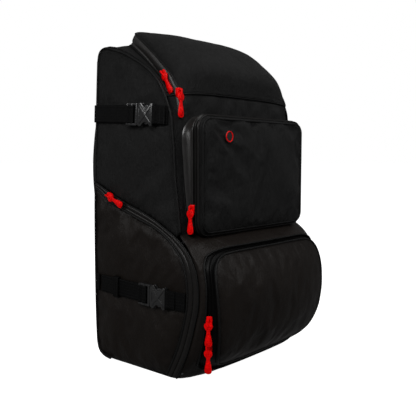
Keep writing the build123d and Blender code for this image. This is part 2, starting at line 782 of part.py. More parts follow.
with BuildPart() as sternum_socket:
    with Locations((CHEST_SOCKET_X, STERNUM_Y, STERNUM_Z)):
        Box(*CHEST_SOCKET)
    with Locations((CHEST_HOLLOW_X, STERNUM_Y, STERNUM_Z)):
        Box(*CHEST_HOLLOW, mode=Mode.SUBTRACT)
save(sternum_socket, "sternum_socket")

with BuildPart() as sternum_plug:
    with Locations((CHEST_BAR_X, STERNUM_Y, STERNUM_Z)):
        Box(*CHEST_BAR)
    with Locations([(x, STERNUM_Y, STERNUM_Z) for x in CHEST_SLOTS_X]):
        Box(*CHEST_SLOT, STERNUM_W, mode=Mode.SUBTRACT)
    prongs = [(CHEST_PRONG_X, STERNUM_Y, STERNUM_Z + way * CHEST_PRONG_Z) for way in (-1, 1)]
    with Locations(prongs):
        Box(*CHEST_PRONG)
save(sternum_plug, "sternum_plug")
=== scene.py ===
"""Looks of the drone carrying backpack: sewn panels, coated zip bands, webbing, buckles and harness."""

import json
import math

import bmesh
import bpy
import numpy as np
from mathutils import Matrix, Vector, noise
from mathutils.geometry import delaunay_2d_cdt

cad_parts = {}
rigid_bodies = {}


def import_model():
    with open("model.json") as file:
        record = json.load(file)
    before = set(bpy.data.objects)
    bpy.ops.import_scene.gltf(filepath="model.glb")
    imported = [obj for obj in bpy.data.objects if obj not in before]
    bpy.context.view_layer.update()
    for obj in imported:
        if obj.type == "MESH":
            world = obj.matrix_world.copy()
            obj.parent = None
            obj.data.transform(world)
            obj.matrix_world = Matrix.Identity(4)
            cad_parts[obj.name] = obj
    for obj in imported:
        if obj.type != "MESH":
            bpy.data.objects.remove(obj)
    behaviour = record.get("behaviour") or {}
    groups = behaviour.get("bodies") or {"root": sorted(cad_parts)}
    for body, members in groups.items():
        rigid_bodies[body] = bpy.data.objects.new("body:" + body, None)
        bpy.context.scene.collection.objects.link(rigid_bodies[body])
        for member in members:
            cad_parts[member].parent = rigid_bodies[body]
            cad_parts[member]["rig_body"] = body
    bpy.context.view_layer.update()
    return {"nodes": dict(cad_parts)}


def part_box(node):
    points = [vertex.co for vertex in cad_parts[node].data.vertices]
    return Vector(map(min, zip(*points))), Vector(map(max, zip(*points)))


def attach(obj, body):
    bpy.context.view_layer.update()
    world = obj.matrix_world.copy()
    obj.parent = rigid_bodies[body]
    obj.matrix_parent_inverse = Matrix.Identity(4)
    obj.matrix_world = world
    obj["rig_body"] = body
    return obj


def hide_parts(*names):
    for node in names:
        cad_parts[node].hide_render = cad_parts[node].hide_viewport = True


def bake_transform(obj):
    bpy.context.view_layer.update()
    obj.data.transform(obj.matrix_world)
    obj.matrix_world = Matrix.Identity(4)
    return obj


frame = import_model()

# Every shape below is worked out in millimetres in the frame's axes:
# X across, +Y towards the wearer's back, +Z up. Meshes are scaled to metres as they are made.
MM = 0.001
PACK = "pack"
CLOTH_THICK = 2.4
SIDES = (("left", -1), ("right", 1))


def node_mm(name):
    """Lowest and highest corner of a CAD node in millimetres."""
    low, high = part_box(name)
    return np.array(low) / MM, np.array(high) / MM


HALF = node_mm("upper_side_right")[1][0]                # outside of the side panels
FLAP_FACE = node_mm("upper_flap_panel")[0][1]           # front face of the upper pocket
FLAP_LOW, FLAP_HIGH = node_mm("upper_flap_panel")       # its width and height
ZIP_GAP = node_mm("upper_zip_tape")                     # depth of the upper pocket's zip
HINGE_Y = node_mm("side_flap_left")[1][1]               # rear edge of the side pocket panels

# compression straps: width, and (Y, Z) of each buckle joint with the rise of its strap along Y
STRAP_WIDTH = 30
UPPER_JOINT, LOWER_JOINT = (-4, 432, 0.058), (-30, 137, 0.026)
STRAP_HOLD = 20                                         # half height of the cloth held under a strap

# ------------------------------------------------------------------ curves of the bag, (Y, Z)
BACK = [(84, 5.2), (101, 8), (112, 15), (117, 27), (119, 50), (120.5, 105), (120.5, 196), (119, 287),
    (114.5, 376), (110, 463), (106, 528)]
HEEL = [(60, 3.5), (88, 4), (101, 7), (112, 14), (117, 27), (119, 50), (120.5, 105), (120.5, 196), (119, 309)]
BACK_TOP = [(118.5, 319), (114.5, 376), (110, 463), (106, 528)]
SIDE_EDGE = [
    (106, 528), (103, 540), (96, 547), (84, 549), (69, 545), (43, 537), (19, 526), (-5, 513), (-24, 500),
    (-39, 486), (-50, 471), (-57, 458), (-63, 445), (-70, 424), (-72, 403), (-75, 374), (-78, 327),
    (-84, 280), (-88, 244),
]
CROWN = [
    (106, 528), (104, 544), (96, 553), (80, 556), (63, 556), (42, 544), (24, 532), (7, 519), (-8, 505),
    (-24, 492), (-44, 476), (-62, 462),
]
FRONT = [(-77, 468), (-77, 446), (-76, 424), (-75.5, 403), (-76.5, 374), (-80, 327), (-85, 280), (-88, 236)]
ZIP_OUT = [
    (118.5, 319), (100, 311), (75, 300), (35, 284), (0, 273), (-31, 261), (-55, 249), (-79, 236), (-101, 219),
    (-115, 201), (-123, 182), (-127, 158), (-126, 128), (-119, 101), (-111, 74), (-100, 46), (-80, 8),
]
ZIP_IN = [
    (119, 309), (102, 301), (85, 289), (47, 275), (11, 262), (-30, 249), (-59, 234), (-81, 215), (-94, 197),
    (-101, 175), (-104, 150), (-102, 124), (-97, 102), (-87, 69), (-76, 43), (-58, 8),
]
HOOD_EDGE = [(46, 573), (27, 559), (7, 545), (-12, 531), (-28, 518), (-43, 506), (-55, 495), (-66, 483),
    (-77, 469)]
HOOD_FOOT = [(62, 556), (42, 544), (24, 532), (7, 519), (-8, 506), (-26, 492), (-43, 479), (-59, 469),
    (-76, 464)]

# front of the lower section on its middle line and at its rounded corners, (Z, Y)
LOWER_MIDDLE = [
    (0, -90), (6, -100), (15, -113), (26, -128), (36, -139), (50, -149), (75, -160), (100, -165), (125, -167),
    (150, -166),
    (180, -160), (200, -152), (212, -146), (222, -136), (232, -122), (245, -100),
]
LOWER_SIDE = [
    (0, -90), (6, -98), (15, -109), (26, -122), (36, -132), (46, -140), (60, -147), (81, -154), (101, -157),
    (124, -158.5),
    (156, -156.5), (181, -152), (200, -146), (209, -142), (222, -132), (237, -118), (245, -100),
]
# right half of the lower pocket panel, from the middle of its top round to its foot, (X, Z)
LOWER_EDGE = [
    (0, 213), (60, 213), (110, 212), (132, 208), (145, 198), (151.5, 183), (154, 163), (153.5, 140),
    (151.5, 112),
    (147, 82), (140, 58), (130, 40), (112, 29), (60, 26), (0, 26),
]


# ------------------------------------------------------------------ curve and mesh helpers
def distance_along(path):
    """Length of a path up to each of its points."""
    return np.concatenate([[0], np.cumsum(np.linalg.norm(np.diff(path, axis=0), axis=1))])


def sampled(values, run, at):
    """Rows of values, known at the distances run, read at other distances."""
    return np.stack([np.interp(at, run, column) for column in values.T], 1)


def spline(points, count, closed=False):
    """count points spaced evenly along a Catmull-Rom curve through the given ones."""
    p = np.array(points, float)
    if closed:
        p = np.vstack([p[-1:], p, p[:2]])
    else:
        p = np.vstack([2 * p[0] - p[1], p, 2 * p[-1] - p[-2]])
    dense = []
    for a, b, c, d in zip(p[:-3], p[1:-2], p[2:-1], p[3:]):
        t = np.linspace(0, 1, 24, endpoint=False)[:, None]
        dense.append(0.5 * (2 * b + (c - a) * t + (2 * a - 5 * b + 4 * c - d) * t**2
            + (3 * b - a - 3 * c + d) * t**3))
    dense = np.vstack(dense + [p[-2:-1]])
    run = distance_along(dense)
    want = np.linspace(0, run[-1], count, endpoint=not closed)
    return sampled(dense, run, want)


def lookup(table, value):
    """Smooth value of a (position, value) table."""
    dense = spline(table, 400)
    order = np.argsort(dense[:, 0])
    return np.interp(value, dense[order, 0], dense[order, 1])


def unit(v):
    v = np.asarray(v, float)
    return v / np.maximum(np.linalg.norm(v, axis=-1, keepdims=True), 1e-9)


def tangents(path, closed=False):
    if closed:
        return unit(np.roll(path, -1, 0) - np.roll(path, 1, 0))
    return unit(np.gradient(path, axis=0))


def finish_mesh(name, verts, faces, material, body, uv=None, edge=None, replaced=()):
    """Mesh object in metres that rides on a body; uv is one flat position in mm for each vertex."""
    mesh = bpy.data.meshes.new(name)
    mesh.from_pydata([tuple(v) for v in np.asarray(verts, float) * MM], [],
        [tuple(map(int, f)) for f in faces])
    mesh.update()
    mesh.validate()
    mesh.shade_smooth()
    if uv is not None:
        layer = mesh.uv_layers.new(name="cloth")
        corner = np.zeros(len(mesh.loops), int)
        mesh.loops.foreach_get("vertex_index", corner)
        layer.data.foreach_set("uv", (np.asarray(uv, float)[corner] * MM).ravel())
    # edge is how near each point lies to a seam; it is stored so that materials can paint shade along the
    # seams
    if edge is not None:
        attribute = mesh.attributes.new("seam_shade", "FLOAT", "POINT")
        attribute.data.foreach_set("value", np.asarray(edge, np.float32))
    mesh.materials.append(material)
    obj = bpy.data.objects.new(name, mesh)
    bpy.context.scene.collection.objects.link(obj)
    if body:
        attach(obj, body)
    if replaced:
        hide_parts(*replaced)
    return obj


def thicken(obj, depth, offset=-1):
    """Gives a sheet its real thickness in mm."""
    mod = obj.modifiers.new("thickness", "SOLIDIFY")
    mod.thickness = depth * MM
    mod.offset = offset
    return obj


def grid_faces(rows, cols, closed_rows=False, closed_cols=False, flip=False):
    faces = []
    for i in range(rows if closed_rows else rows - 1):
        for j in range(cols if closed_cols else cols - 1):
            a, b = i * cols + j, i * cols + (j + 1) % cols
            c, d = ((i + 1) % rows) * cols + (j + 1) % cols, ((i + 1) % rows) * cols + j
            faces.append((a, d, c, b) if flip else (a, b, c, d))
    return faces


def seam_distance(points, outline):
    """Distance of each flat point to a closed outline."""
    a, b = outline, np.roll(outline, -1, 0)
    best = np.full(len(points), 1e9)
    for s, e in zip(a, b):
        d = e - s
        t = np.clip(((points - s) @ d) / max(d @ d, 1e-9), 0, 1)
        best = np.minimum(best, np.linalg.norm(points - (s + t[:, None] * d), axis=1))
    return best


def fill_outline(outline, step):
    """Even net of triangles inside a closed flat outline."""
    low, high = outline.min(0), outline.max(0)
    inner = []
    row, v = 0, low[1]
    while v < high[1]:
        shift = step / 2 if row % 2 else 0
        inner += [(u, v) for u in np.arange(low[0] + shift, high[0], step)]
        row, v = row + 1, v + step * 0.866
    inner = np.array(inner)
    inner = inner[seam_distance(inner, outline) > step * 0.55]
    count = len(outline)
    points = [Vector(p) for p in outline] + [Vector(p) for p in inner]
    verts, _, faces, *_ = delaunay_2d_cdt(points, [], [list(range(count))], 1, 1e-6)
    return np.array([tuple(v) for v in verts]), [tuple(f) for f in faces]


def wobble(points, size, seed):
    """Soft noise from -1 to 1 at flat points, features about size mm across."""
    return np.array([noise.noise(Vector((p[0] / size, p[1] / size, seed))) for p in points]) * 1.6


CLOTH = []
CROSSING = []


def panel(name, outline, place, body, material, step=6, puff=4.0, reach=22.0, rough=0.6, seed=0.0,
        folds=None, slack=0.0, pressure=0.0, cap=5.0, hold=None, replaced=(), flip=False,
        depth=CLOTH_THICK):
    """Sewn fabric panel. place(u, v, h) sets flat millimetres and a height above the panel in space.

    puff is how far the middle stands proud, reach how fast it rises from the seam, folds(u, v, d) adds
    creases, and slack with pressure lets the panel settle as cloth, held at its seams and where hold(u, v)
    says that something is sewn on."""
    outline = np.asarray(outline, float)
    flat, faces = fill_outline(outline, step)
    d = seam_distance(flat, outline)
    lift = puff * (1 - np.exp(-((d / reach) ** 1.3)))
    fade = np.clip(d / 12, 0, 1)
    lift += rough * fade * (wobble(flat, 60, seed) + 0.45 * wobble(flat, 22, seed + 7))
    if folds is not None:
        lift += folds(flat[:, 0], flat[:, 1], d)
    verts = place(flat[:, 0], flat[:, 1], lift)
    if flip:
        faces = [f[::-1] for f in faces]
    # np.exp(-d / 5) marks the cloth near the seams, which the material darkens as painted shade
    obj = finish_mesh(name, verts, faces, material, body, flat, np.exp(-d / 5), replaced)
    if slack or pressure:
        pins = d < step * 0.5
        if hold is not None:
            pins = pins | hold(flat[:, 0], flat[:, 1])
        CLOTH.append((obj, pins, pressure, slack, cap))
    if depth:
        thicken(obj, depth)
    return obj


def settle_cloth(frames=20):
    """Lets every slack panel move as cloth pinned at its seams, then keeps the shape within its cap."""
    scene = bpy.context.scene
    rest = {}
    for obj, pins, pressure, slack, cap in CLOTH:
        obj.modifiers.clear()
        group = obj.vertex_groups.new(name="seams")
        group.add([int(i) for i in np.nonzero(pins)[0]], 1.0, "REPLACE")
        rest[obj.name] = np.array([v.co for v in obj.data.vertices])
        cloth = obj.modifiers.new("cloth", "CLOTH")
        set_up = cloth.settings
        set_up.quality = 5
        set_up.mass = 0.15
        set_up.tension_stiffness = set_up.compression_stiffness = 12
        set_up.shear_stiffness = 6
        set_up.bending_stiffness = 0.6
        set_up.vertex_group_mass = group.name
        set_up.shrink_min = -slack
        set_up.use_pressure = pressure > 0
        set_up.uniform_pressure_force = pressure
        set_up.effector_weights.gravity = 0
        cloth.point_cache.frame_start, cloth.point_cache.frame_end = 1, frames
    for number in range(1, frames + 1):
        scene.frame_set(number)
    graph = bpy.context.evaluated_depsgraph_get()
    for obj, pins, pressure, slack, cap in CLOTH:
        settled = np.array([v.co for v in obj.evaluated_get(graph).data.vertices])
        move = settled - rest[obj.name]
        size = np.linalg.norm(move, axis=1, keepdims=True)
        move *= np.minimum(1, cap * MM / np.maximum(size, 1e-9))
        obj.modifiers.clear()
        obj.data.vertices.foreach_set("co", (rest[obj.name] + move).ravel())
        obj.data.update()
        thicken(obj, CLOTH_THICK)
    scene.frame_set(1)


def band(name, top, foot, out, profile, body, material, closed=False, flip=False, depth=1.2, replaced=()):
    """Strip between two curves; profile is (share of the way down, height outwards in mm) pairs."""
    top, foot, out = np.asarray(top, float), np.asarray(foot, float), unit(out)
    rows = [top + share * (foot - top) + out * height for share, height in profile]
    verts = np.stack(rows, 1).reshape(-1, 3)
    run = distance_along(top)
    width = np.linalg.norm(foot - top, axis=1).mean()
    uv = np.array([(r, share * width) for r in run for share, _ in profile])
    faces = grid_faces(len(top), len(profile), closed_rows=closed, flip=flip)
    obj = finish_mesh(name, verts, faces, material, body, uv, np.tile([0.0] * len(profile), len(top)),
        replaced)
    if depth:
        thicken(obj, depth)
    return obj


def tube(name, path, radius, body, material, closed=False, sides=8, squeeze=1.0, replaced=()):
    """Round cord or piping along a path in mm."""
    path = np.asarray(path, float)
    along = tangents(path, closed)
    normal = unit(np.cross(along[0], (0.31, 0.2, 0.93)))
    rings = []
    for point, tangent in zip(path, along):
        normal = unit(normal - tangent * (normal @ tangent))
        side = np.cross(tangent, normal)
        for k in range(sides):
            a = 2 * math.pi * k / sides
            rings.append(point + radius * (math.cos(a) * normal + squeeze * math.sin(a) * side))
    faces = grid_faces(len(path), sides, closed_rows=closed, closed_cols=True)
    if not closed:
        faces += [tuple(range(sides))[::-1], tuple(len(path) * sides - sides + k for k in range(sides))]
    run = distance_along(path)
    uv = [(r, 2 * math.pi * radius * k / sides) for r in run for k in range(sides)]
    return finish_mesh(name, rings, faces, material, body, uv, None, replaced)


def stitches(name, path, out, body, material, pitch=3.6, length=2.5, radius=0.33, closed=False):
    """Row of separate thread stitches along a path, lying on the fabric."""
    path = np.asarray(path, float)
    total = np.linalg.norm(np.diff(path, axis=0), axis=1).sum()
    count = max(int(total / pitch), 2)
    run = distance_along(path)
    at = np.linspace(0, total, count, endpoint=not closed)
    spots = sampled(path, run, at)
    outward = unit(np.broadcast_to(np.asarray(out, float), path.shape))
    ups = unit(sampled(outward, run, at))
    along = tangents(spots)
    verts, faces = [], []
    for spot, tangent, up in zip(spots, along, ups):
        side = unit(np.cross(tangent, up))
        base = len(verts)
        for share, fat, rise in ((-0.5, 0.35, -0.1), (-0.25, 1, 0.25), (0.25, 1, 0.25), (0.5, 0.35, -0.1)):
            centre = spot + tangent * length * share + up * rise
            for k in range(5):
                a = 2 * math.pi * k / 5
                verts.append(centre + radius * fat * (math.cos(a) * side + math.sin(a) * up))
        faces += [tuple(base + i for i in f) for f in grid_faces(4, 5, closed_cols=True)]
    return finish_mesh(name, verts, faces, material, body)


def strap(name, path, out, width, body, material, thick=1.6, replaced=()):
    """Flat webbing or binding along a path, out is the direction its face looks in at each point."""
    path = np.asarray(path, float)
    along = tangents(path)
    out = unit(np.broadcast_to(np.asarray(out, float), path.shape))
    across = unit(np.cross(along, out))
    out = np.cross(across, along)
    half, r = width / 2, thick * 0.35
    ring = [(-half, 0), (-half + r, -thick / 2), (half - r, -thick / 2), (half, 0), (half - r, thick / 2)]
    ring += [(x, thick * 0.5) for x in np.linspace(half - 2, -half + 2, 7)] + [(-half + r, thick / 2)]
    rows = np.stack([path + across * x + out * z for x, z in ring], 1)
    faces = grid_faces(len(path), len(ring), closed_cols=True)
    faces += [tuple(range(len(ring)))[::-1], tuple(len(path) * len(ring) - len(ring)
        + k for k in range(len(ring)))]
    run = distance_along(path)
    uv = [(x, r0) for r0 in run for x, _ in ring]
    obj = finish_mesh(name, rows.reshape(-1, 3), faces, material, body, uv, None, replaced)
    repair_normals(obj)
    return obj


def repair_normals(obj):
    shape = bmesh.new()
    shape.from_mesh(obj.data)
    bmesh.ops.recalc_face_normals(shape, faces=shape.faces)
    shape.to_mesh(obj.data)
    shape.free()


def axes(origin, x_dir, z_dir):
    """Frame like the CAD's: x along x_dir, z outwards, in mm."""
    z = unit(z_dir)
    x = unit(np.asarray(x_dir, float) - z * (np.asarray(x_dir, float) @ z))
    return np.array(origin, float), np.stack([x, np.cross(z, x), z])


def plates(name, parts, frame_axes, body, material, replaced=()):
    """Moulded piece from plates; each is (outline in x-y, low z, high z, rounding) in a local frame in mm."""
    origin, turn = frame_axes
    whole = bmesh.new()
    for outline, low, high, rounding in parts:
        piece = bmesh.new()
        face = piece.faces.new([piece.verts.new((x, y, low)) for x, y in outline])
        raised = bmesh.ops.extrude_face_region(piece, geom=[face])
        tops = [v for v in raised["geom"] if isinstance(v, bmesh.types.BMVert)]
        bmesh.ops.translate(piece, vec=(0, 0, high - low), verts=tops)
        bmesh.ops.recalc_face_normals(piece, faces=piece.faces)
        if rounding:
            rims = [e for e in piece.edges if len(e.link_faces) == 2 and e.calc_face_angle(0) > 0.7]
            bmesh.ops.bevel(piece, geom=rims, offset=rounding, segments=2, profile=0.6, affect="EDGES",
                clamp_overlap=True)
        holder = bpy.data.meshes.new("holder")
        piece.to_mesh(holder)
        whole.from_mesh(holder)
        piece.free()
        bpy.data.meshes.remove(holder)
    bmesh.ops.recalc_face_normals(whole, faces=whole.faces)
    flat = np.array([v.co for v in whole.verts])
    faces = [[v.index for v in f.verts] for f in whole.faces]
    whole.free()
    obj = finish_mesh(name, origin + flat @ turn, faces, material, body, flat[:, :2], None, replaced)
    obj.data.shade_flat()
    mod = obj.modifiers.new("soft_edges", "EDGE_SPLIT")
    mod.split_angle = 0.7
    obj.data.shade_smooth()
    return obj


def rounded(width, height, radius, centre=(0, 0), steps=5):
    """Closed outline of a rounded rectangle."""
    points = []
    for cx, cy, start in ((1, 1, 0), (-1, 1, 90), (-1, -1, 180), (1, -1, 270)):
        for k in range(steps + 1):
            a = math.radians(start + 90 * k / steps)
            points.append((centre[0] + cx * (width / 2 - radius) + radius * math.cos(a),
                    centre[1] + cy * (height / 2 - radius) + radius * math.sin(a)))
    return np.array(points)


def even(points, step, closed=False):
    """The same line with points evenly step mm apart."""
    p = np.asarray(points, float)
    if closed:
        p = np.vstack([p, p[:1]])
    run = distance_along(p)
    count = max(int(round(run[-1] / step)), 3)
    at = np.linspace(0, run[-1], count, endpoint=not closed)
    return sampled(p, run, at)


def joined(*curves, step=5):
    """Closed outline from curves laid end to end; curves of over two points are smoothed."""
    points = []
    for curve in curves:
        dense = spline(curve, 160) if len(curve) > 2 else np.array(curve, float)
        points.append(even(dense, step)[:-1] if np.linalg.norm(dense[-1] - dense[0]) > step else dense[:1])
    return np.vstack(points)


# ------------------------------------------------------------------ materials
def link_math(tree, op, a, b=None, c=None):
    node = tree.nodes.new("ShaderNodeMath")
    node.operation = op
    for slot_number, value in enumerate((a, b, c)):
        if value is None:
            continue
        if isinstance(value, (int, float)):
            node.inputs[slot_number].default_value = value
        else:
            tree.links.new(value, node.inputs[slot_number])
    return node.outputs[0]


def soft_noise(tree, coords, scale, detail=3.0, stretch=None):
    if stretch:
        mapping = tree.nodes.new("ShaderNodeMapping")
        mapping.inputs["Scale"].default_value = stretch
        tree.links.new(coords, mapping.inputs["Vector"])
        coords = mapping.outputs[0]
    node = tree.nodes.new("ShaderNodeTexNoise")
    node.inputs["Scale"].default_value = scale
    node.inputs["Detail"].default_value = detail
    tree.links.new(coords, node.inputs["Vector"])
    return node.outputs["Fac"]


def material(name, colour, rough, pitch=0.0, weave=0.3, rib=False, sheen=0.0, coat=0.0, grain=0.0,
    grain_scale=900,
        crease=0.0, crease_scale=22, vary=0.25, seam_shade=0.0, edge_highlight=0.0, holes=0.0, rough_vary=0.12,
        flat_uv=True, gloss=0.25, mottle=1.6):
    """Procedural finish: weave or ribs, grain, creases, uneven dye, painted shade along the seams and a
    painted highlight on sharp edges.
    """
    mat = bpy.data.materials.new(name)
    mat.use_nodes = True
    tree = mat.node_tree
    shader = tree.nodes["Principled BSDF"]

    def calc(op, *values):
        return link_math(tree, op, *values)

    shader.inputs["Specular IOR Level"].default_value = gloss
    shader.inputs["Sheen Weight"].default_value = sheen
    shader.inputs["Sheen Roughness"].default_value = 0.4
    shader.inputs["Coat Weight"].default_value = coat
    shader.inputs["Coat Roughness"].default_value = 0.3
    coordinates = tree.nodes.new("ShaderNodeTexCoord")
    space = coordinates.outputs["Object"]
    heights = []
    if pitch:
        parts = tree.nodes.new("ShaderNodeSeparateXYZ")
        if flat_uv:
            tree.links.new(coordinates.outputs["UV"], parts.inputs[0])
            u, v = parts.outputs[0], parts.outputs[1]
        else:
            tree.links.new(space, parts.inputs[0])
            u, v = calc("ADD", parts.outputs[0], parts.outputs[1]), parts.outputs[2]
        turn = math.pi / (pitch * MM)
        if rib:
            slant = calc("ABSOLUTE", calc("SINE", calc("MULTIPLY", u, turn / 3)))
            v = calc("MULTIPLY_ADD", slant, pitch * MM * 1.2, v)
            yarn = calc("ABSOLUTE", calc("SINE", calc("MULTIPLY", v, turn)))
        else:
            warp = calc("SINE", calc("MULTIPLY", u, turn))
            weft = calc("SINE", calc("MULTIPLY", v, turn))
            cell = calc("MULTIPLY", warp, weft)
            over = calc("GREATER_THAN", cell, 0.0)
            warp_height = calc("ABSOLUTE", warp)
            weft_height = calc("ABSOLUTE", weft)
            low = calc("MULTIPLY", weft_height, calc("SUBTRACT", 1.0, over))
            yarn = calc("MULTIPLY_ADD", warp_height, over, low)
        heights.append((yarn, weave, 0.35))
    if holes:
        cells = tree.nodes.new("ShaderNodeTexVoronoi")
        cells.inputs["Scale"].default_value = 1 / (holes * MM)
        cells.inputs["Randomness"].default_value = 0.12
        tree.links.new(coordinates.outputs["Object"], cells.inputs["Vector"])
        pits = calc("MINIMUM", calc("MULTIPLY", cells.outputs["Distance"], 1.9), 1.0)
        heights.append((calc("SUBTRACT", 1.0, calc("POWER", pits, 2.0)), -0.8, 1.2))
    if grain:
        heights.append((soft_noise(tree, space, grain_scale, 2.0), grain, 0.4))
    if crease:
        heights.append((soft_noise(tree, space, crease_scale, 4.0, (1, 1, 0.55)), crease, 14.0))
    previous = None
    for height, strength, distance in heights:
        bump = tree.nodes.new("ShaderNodeBump")
        bump.inputs["Strength"].default_value = abs(strength)
        bump.inputs["Distance"].default_value = distance * MM
        bump.invert = strength < 0
        tree.links.new(height, bump.inputs["Height"])
        if previous:
            tree.links.new(previous, bump.inputs["Normal"])
        previous = bump.outputs[0]
    if previous:
        tree.links.new(previous, shader.inputs["Normal"])
    patches = soft_noise(tree, space, 9.0, 5.0)
    shade = calc("MULTIPLY_ADD", calc("SUBTRACT", patches, 0.5), 2 * vary, 1.0)
    fine = soft_noise(tree, space, 330.0, 3.0)
    shade = calc("MULTIPLY", shade, calc("MULTIPLY_ADD", fine, mottle, 1 - mottle / 2))
    if pitch:
        shade = calc("MULTIPLY", shade, calc("MULTIPLY_ADD", heights[0][0], 0.5, 0.68))
    # painted shade: the colour is darkened near the seams, where the puffed cloth dips in
    if seam_shade:
        mark = tree.nodes.new("ShaderNodeAttribute")
        mark.attribute_name = "seam_shade"
        shade = calc("MULTIPLY", shade, calc("MULTIPLY_ADD", mark.outputs["Fac"], -seam_shade, 1.0))
    # painted highlight: sharp convex edges are lightened in the surface's own hue
    if edge_highlight:
        geometry = tree.nodes.new("ShaderNodeNewGeometry")
        edge = calc("MULTIPLY_ADD", geometry.outputs["Pointiness"], 10.0, -4.95)
        edge = calc("MINIMUM", calc("MAXIMUM", edge, 0.0), 1.0)
        shade = calc("MULTIPLY_ADD", edge, edge_highlight, shade)
    tint = tree.nodes.new("ShaderNodeMix")
    tint.data_type = "RGBA"
    tint.blend_type = "MULTIPLY"
    tint.inputs[0].default_value = 1.0
    tint.inputs[6].default_value = (*colour, 1)
    tree.links.new(shade, tint.inputs[7])
    tree.links.new(tint.outputs[2], shader.inputs["Base Color"])
    glossy = calc("MULTIPLY_ADD", soft_noise(tree, space, 30.0, 4.0), 2 * rough_vary, rough - rough_vary)
    tree.links.new(glossy, shader.inputs["Roughness"])
    return mat


# Woven and coated cloth get painted shade along their seams.
WOVEN = material("woven_nylon", (0.0092, 0.0092, 0.0092), 0.5, pitch=1.0, weave=0.7, sheen=0.015, crease=0.5,
    crease_scale=30, seam_shade=0.55, gloss=0.09)
COATED = material("coated_nylon", (0.0085, 0.0066, 0.0056), 0.42, pitch=0.5, weave=0.12, crease=0.4,
    crease_scale=26, vary=0.2, seam_shade=0.55, gloss=0.12, mottle=0.5)
ZIP = material("coated_zip_tape", (0.0066, 0.0058, 0.0054), 0.36, pitch=0.6, weave=0.1, grain=0.08, vary=0.15,
    gloss=0.24)
SATIN = material("satin_zip_tape", (0.0105, 0.0095, 0.009), 0.34, pitch=0.6, weave=0.1, grain=0.08, vary=0.15,
    gloss=0.55)
PIPING = material("piping", (0.004, 0.004, 0.004), 0.45, pitch=0.8, weave=0.3, vary=0.2, gloss=0.15)
COIL = material("zip_coil", (0.002, 0.002, 0.002), 0.4, grain=0.2, gloss=0.08)
WEBBING = material("webbing", (0.0016, 0.0016, 0.0017), 0.6, pitch=1.6, weave=0.8, rib=True, gloss=0.08)
MESH = material("air_mesh", (0.006, 0.006, 0.0064), 0.8, holes=4.2, grain=0.4, vary=0.15, gloss=0.15)
LINING = material("lining", (0.09, 0.09, 0.095), 0.75, pitch=0.8, weave=0.35, flat_uv=False)
# Buckle plastic gets a painted highlight on its sharp edges.
ACETAL = material("buckle_plastic", (0.011, 0.011, 0.0115), 0.24, grain=0.12, grain_scale=1600, vary=0.08,
    edge_highlight=0.02, gloss=0.7)
# The enamel pulls get a painted highlight on their sharp edges.
RED = material("pull_enamel", (0.72, 0.0006, 0.0008), 0.36, grain=0.1, grain_scale=600, vary=0.12, edge_highlight=0.1,
    gloss=0.12)
THREAD = material("thread", (0.008, 0.008, 0.008), 0.55, grain=0.3, grain_scale=2500, gloss=0.2)
BASE = material("moulded_base", (0.004, 0.004, 0.004), 0.6, grain=0.5, grain_scale=420, vary=0.15, gloss=0.12)


# ------------------------------------------------------------------ side panels, zip bands and side pockets
def on_side(sign, depth):
    """Flat (Y, Z) on a side of the bag, depth from the middle plane."""
    return lambda u, v, h: np.stack([sign * (depth + h), u, v], 1)


def at_x(curve, x):
    """(Y, Z) points at one X."""
    curve = np.asarray(curve, float)
    return np.column_stack([np.full(len(curve), float(x)), curve])


def strip_folds(u, v, d):
    """Shallow pull lines that run down from the strap and along the zip."""
    across = np.exp(-((v - 432 - 0.06 * u) / 17) ** 2) * -1.6
    drag = 0.9 * np.sin((u * 0.5 + v) / 11.0) * np.exp(-(((u + 40) / 45) ** 2 + ((v - 330) / 70) ** 2))
    return (across + drag) * np.clip(d / 15, 0, 1)


def pocket_folds(u, v, d):
    across = np.exp(-((v - 139 - 0.026 * u) / 17) ** 2) * -2.2
    drag = 0.8 * np.sin((v - u * 0.35) / 13.0) * np.exp(-(((u + 20) / 60) ** 2 + ((v - 215) / 40) ** 2))
    tuck = -4.0 * np.exp(-((v - 3) / 9.0)) * (v < 60)
    return (across + drag) * np.clip(d / 15, 0, 1) + tuck


def under_upper_strap(u, v):
    return np.abs(v - UPPER_JOINT[1] - UPPER_JOINT[2] * u) < STRAP_HOLD


def under_lower_strap(u, v):
    return np.abs(v - LOWER_JOINT[1] - LOWER_JOINT[2] * u) < STRAP_HOLD


side_outline = joined(BACK_TOP, SIDE_EDGE, [SIDE_EDGE[-1], ZIP_OUT[7]], ZIP_OUT[:8][::-1])
flap_outline = joined(HEEL, ZIP_IN, [ZIP_IN[-1], HEEL[0]])
zip_outer = spline(ZIP_OUT, 90)
zip_inner = spline(ZIP_IN, 90)

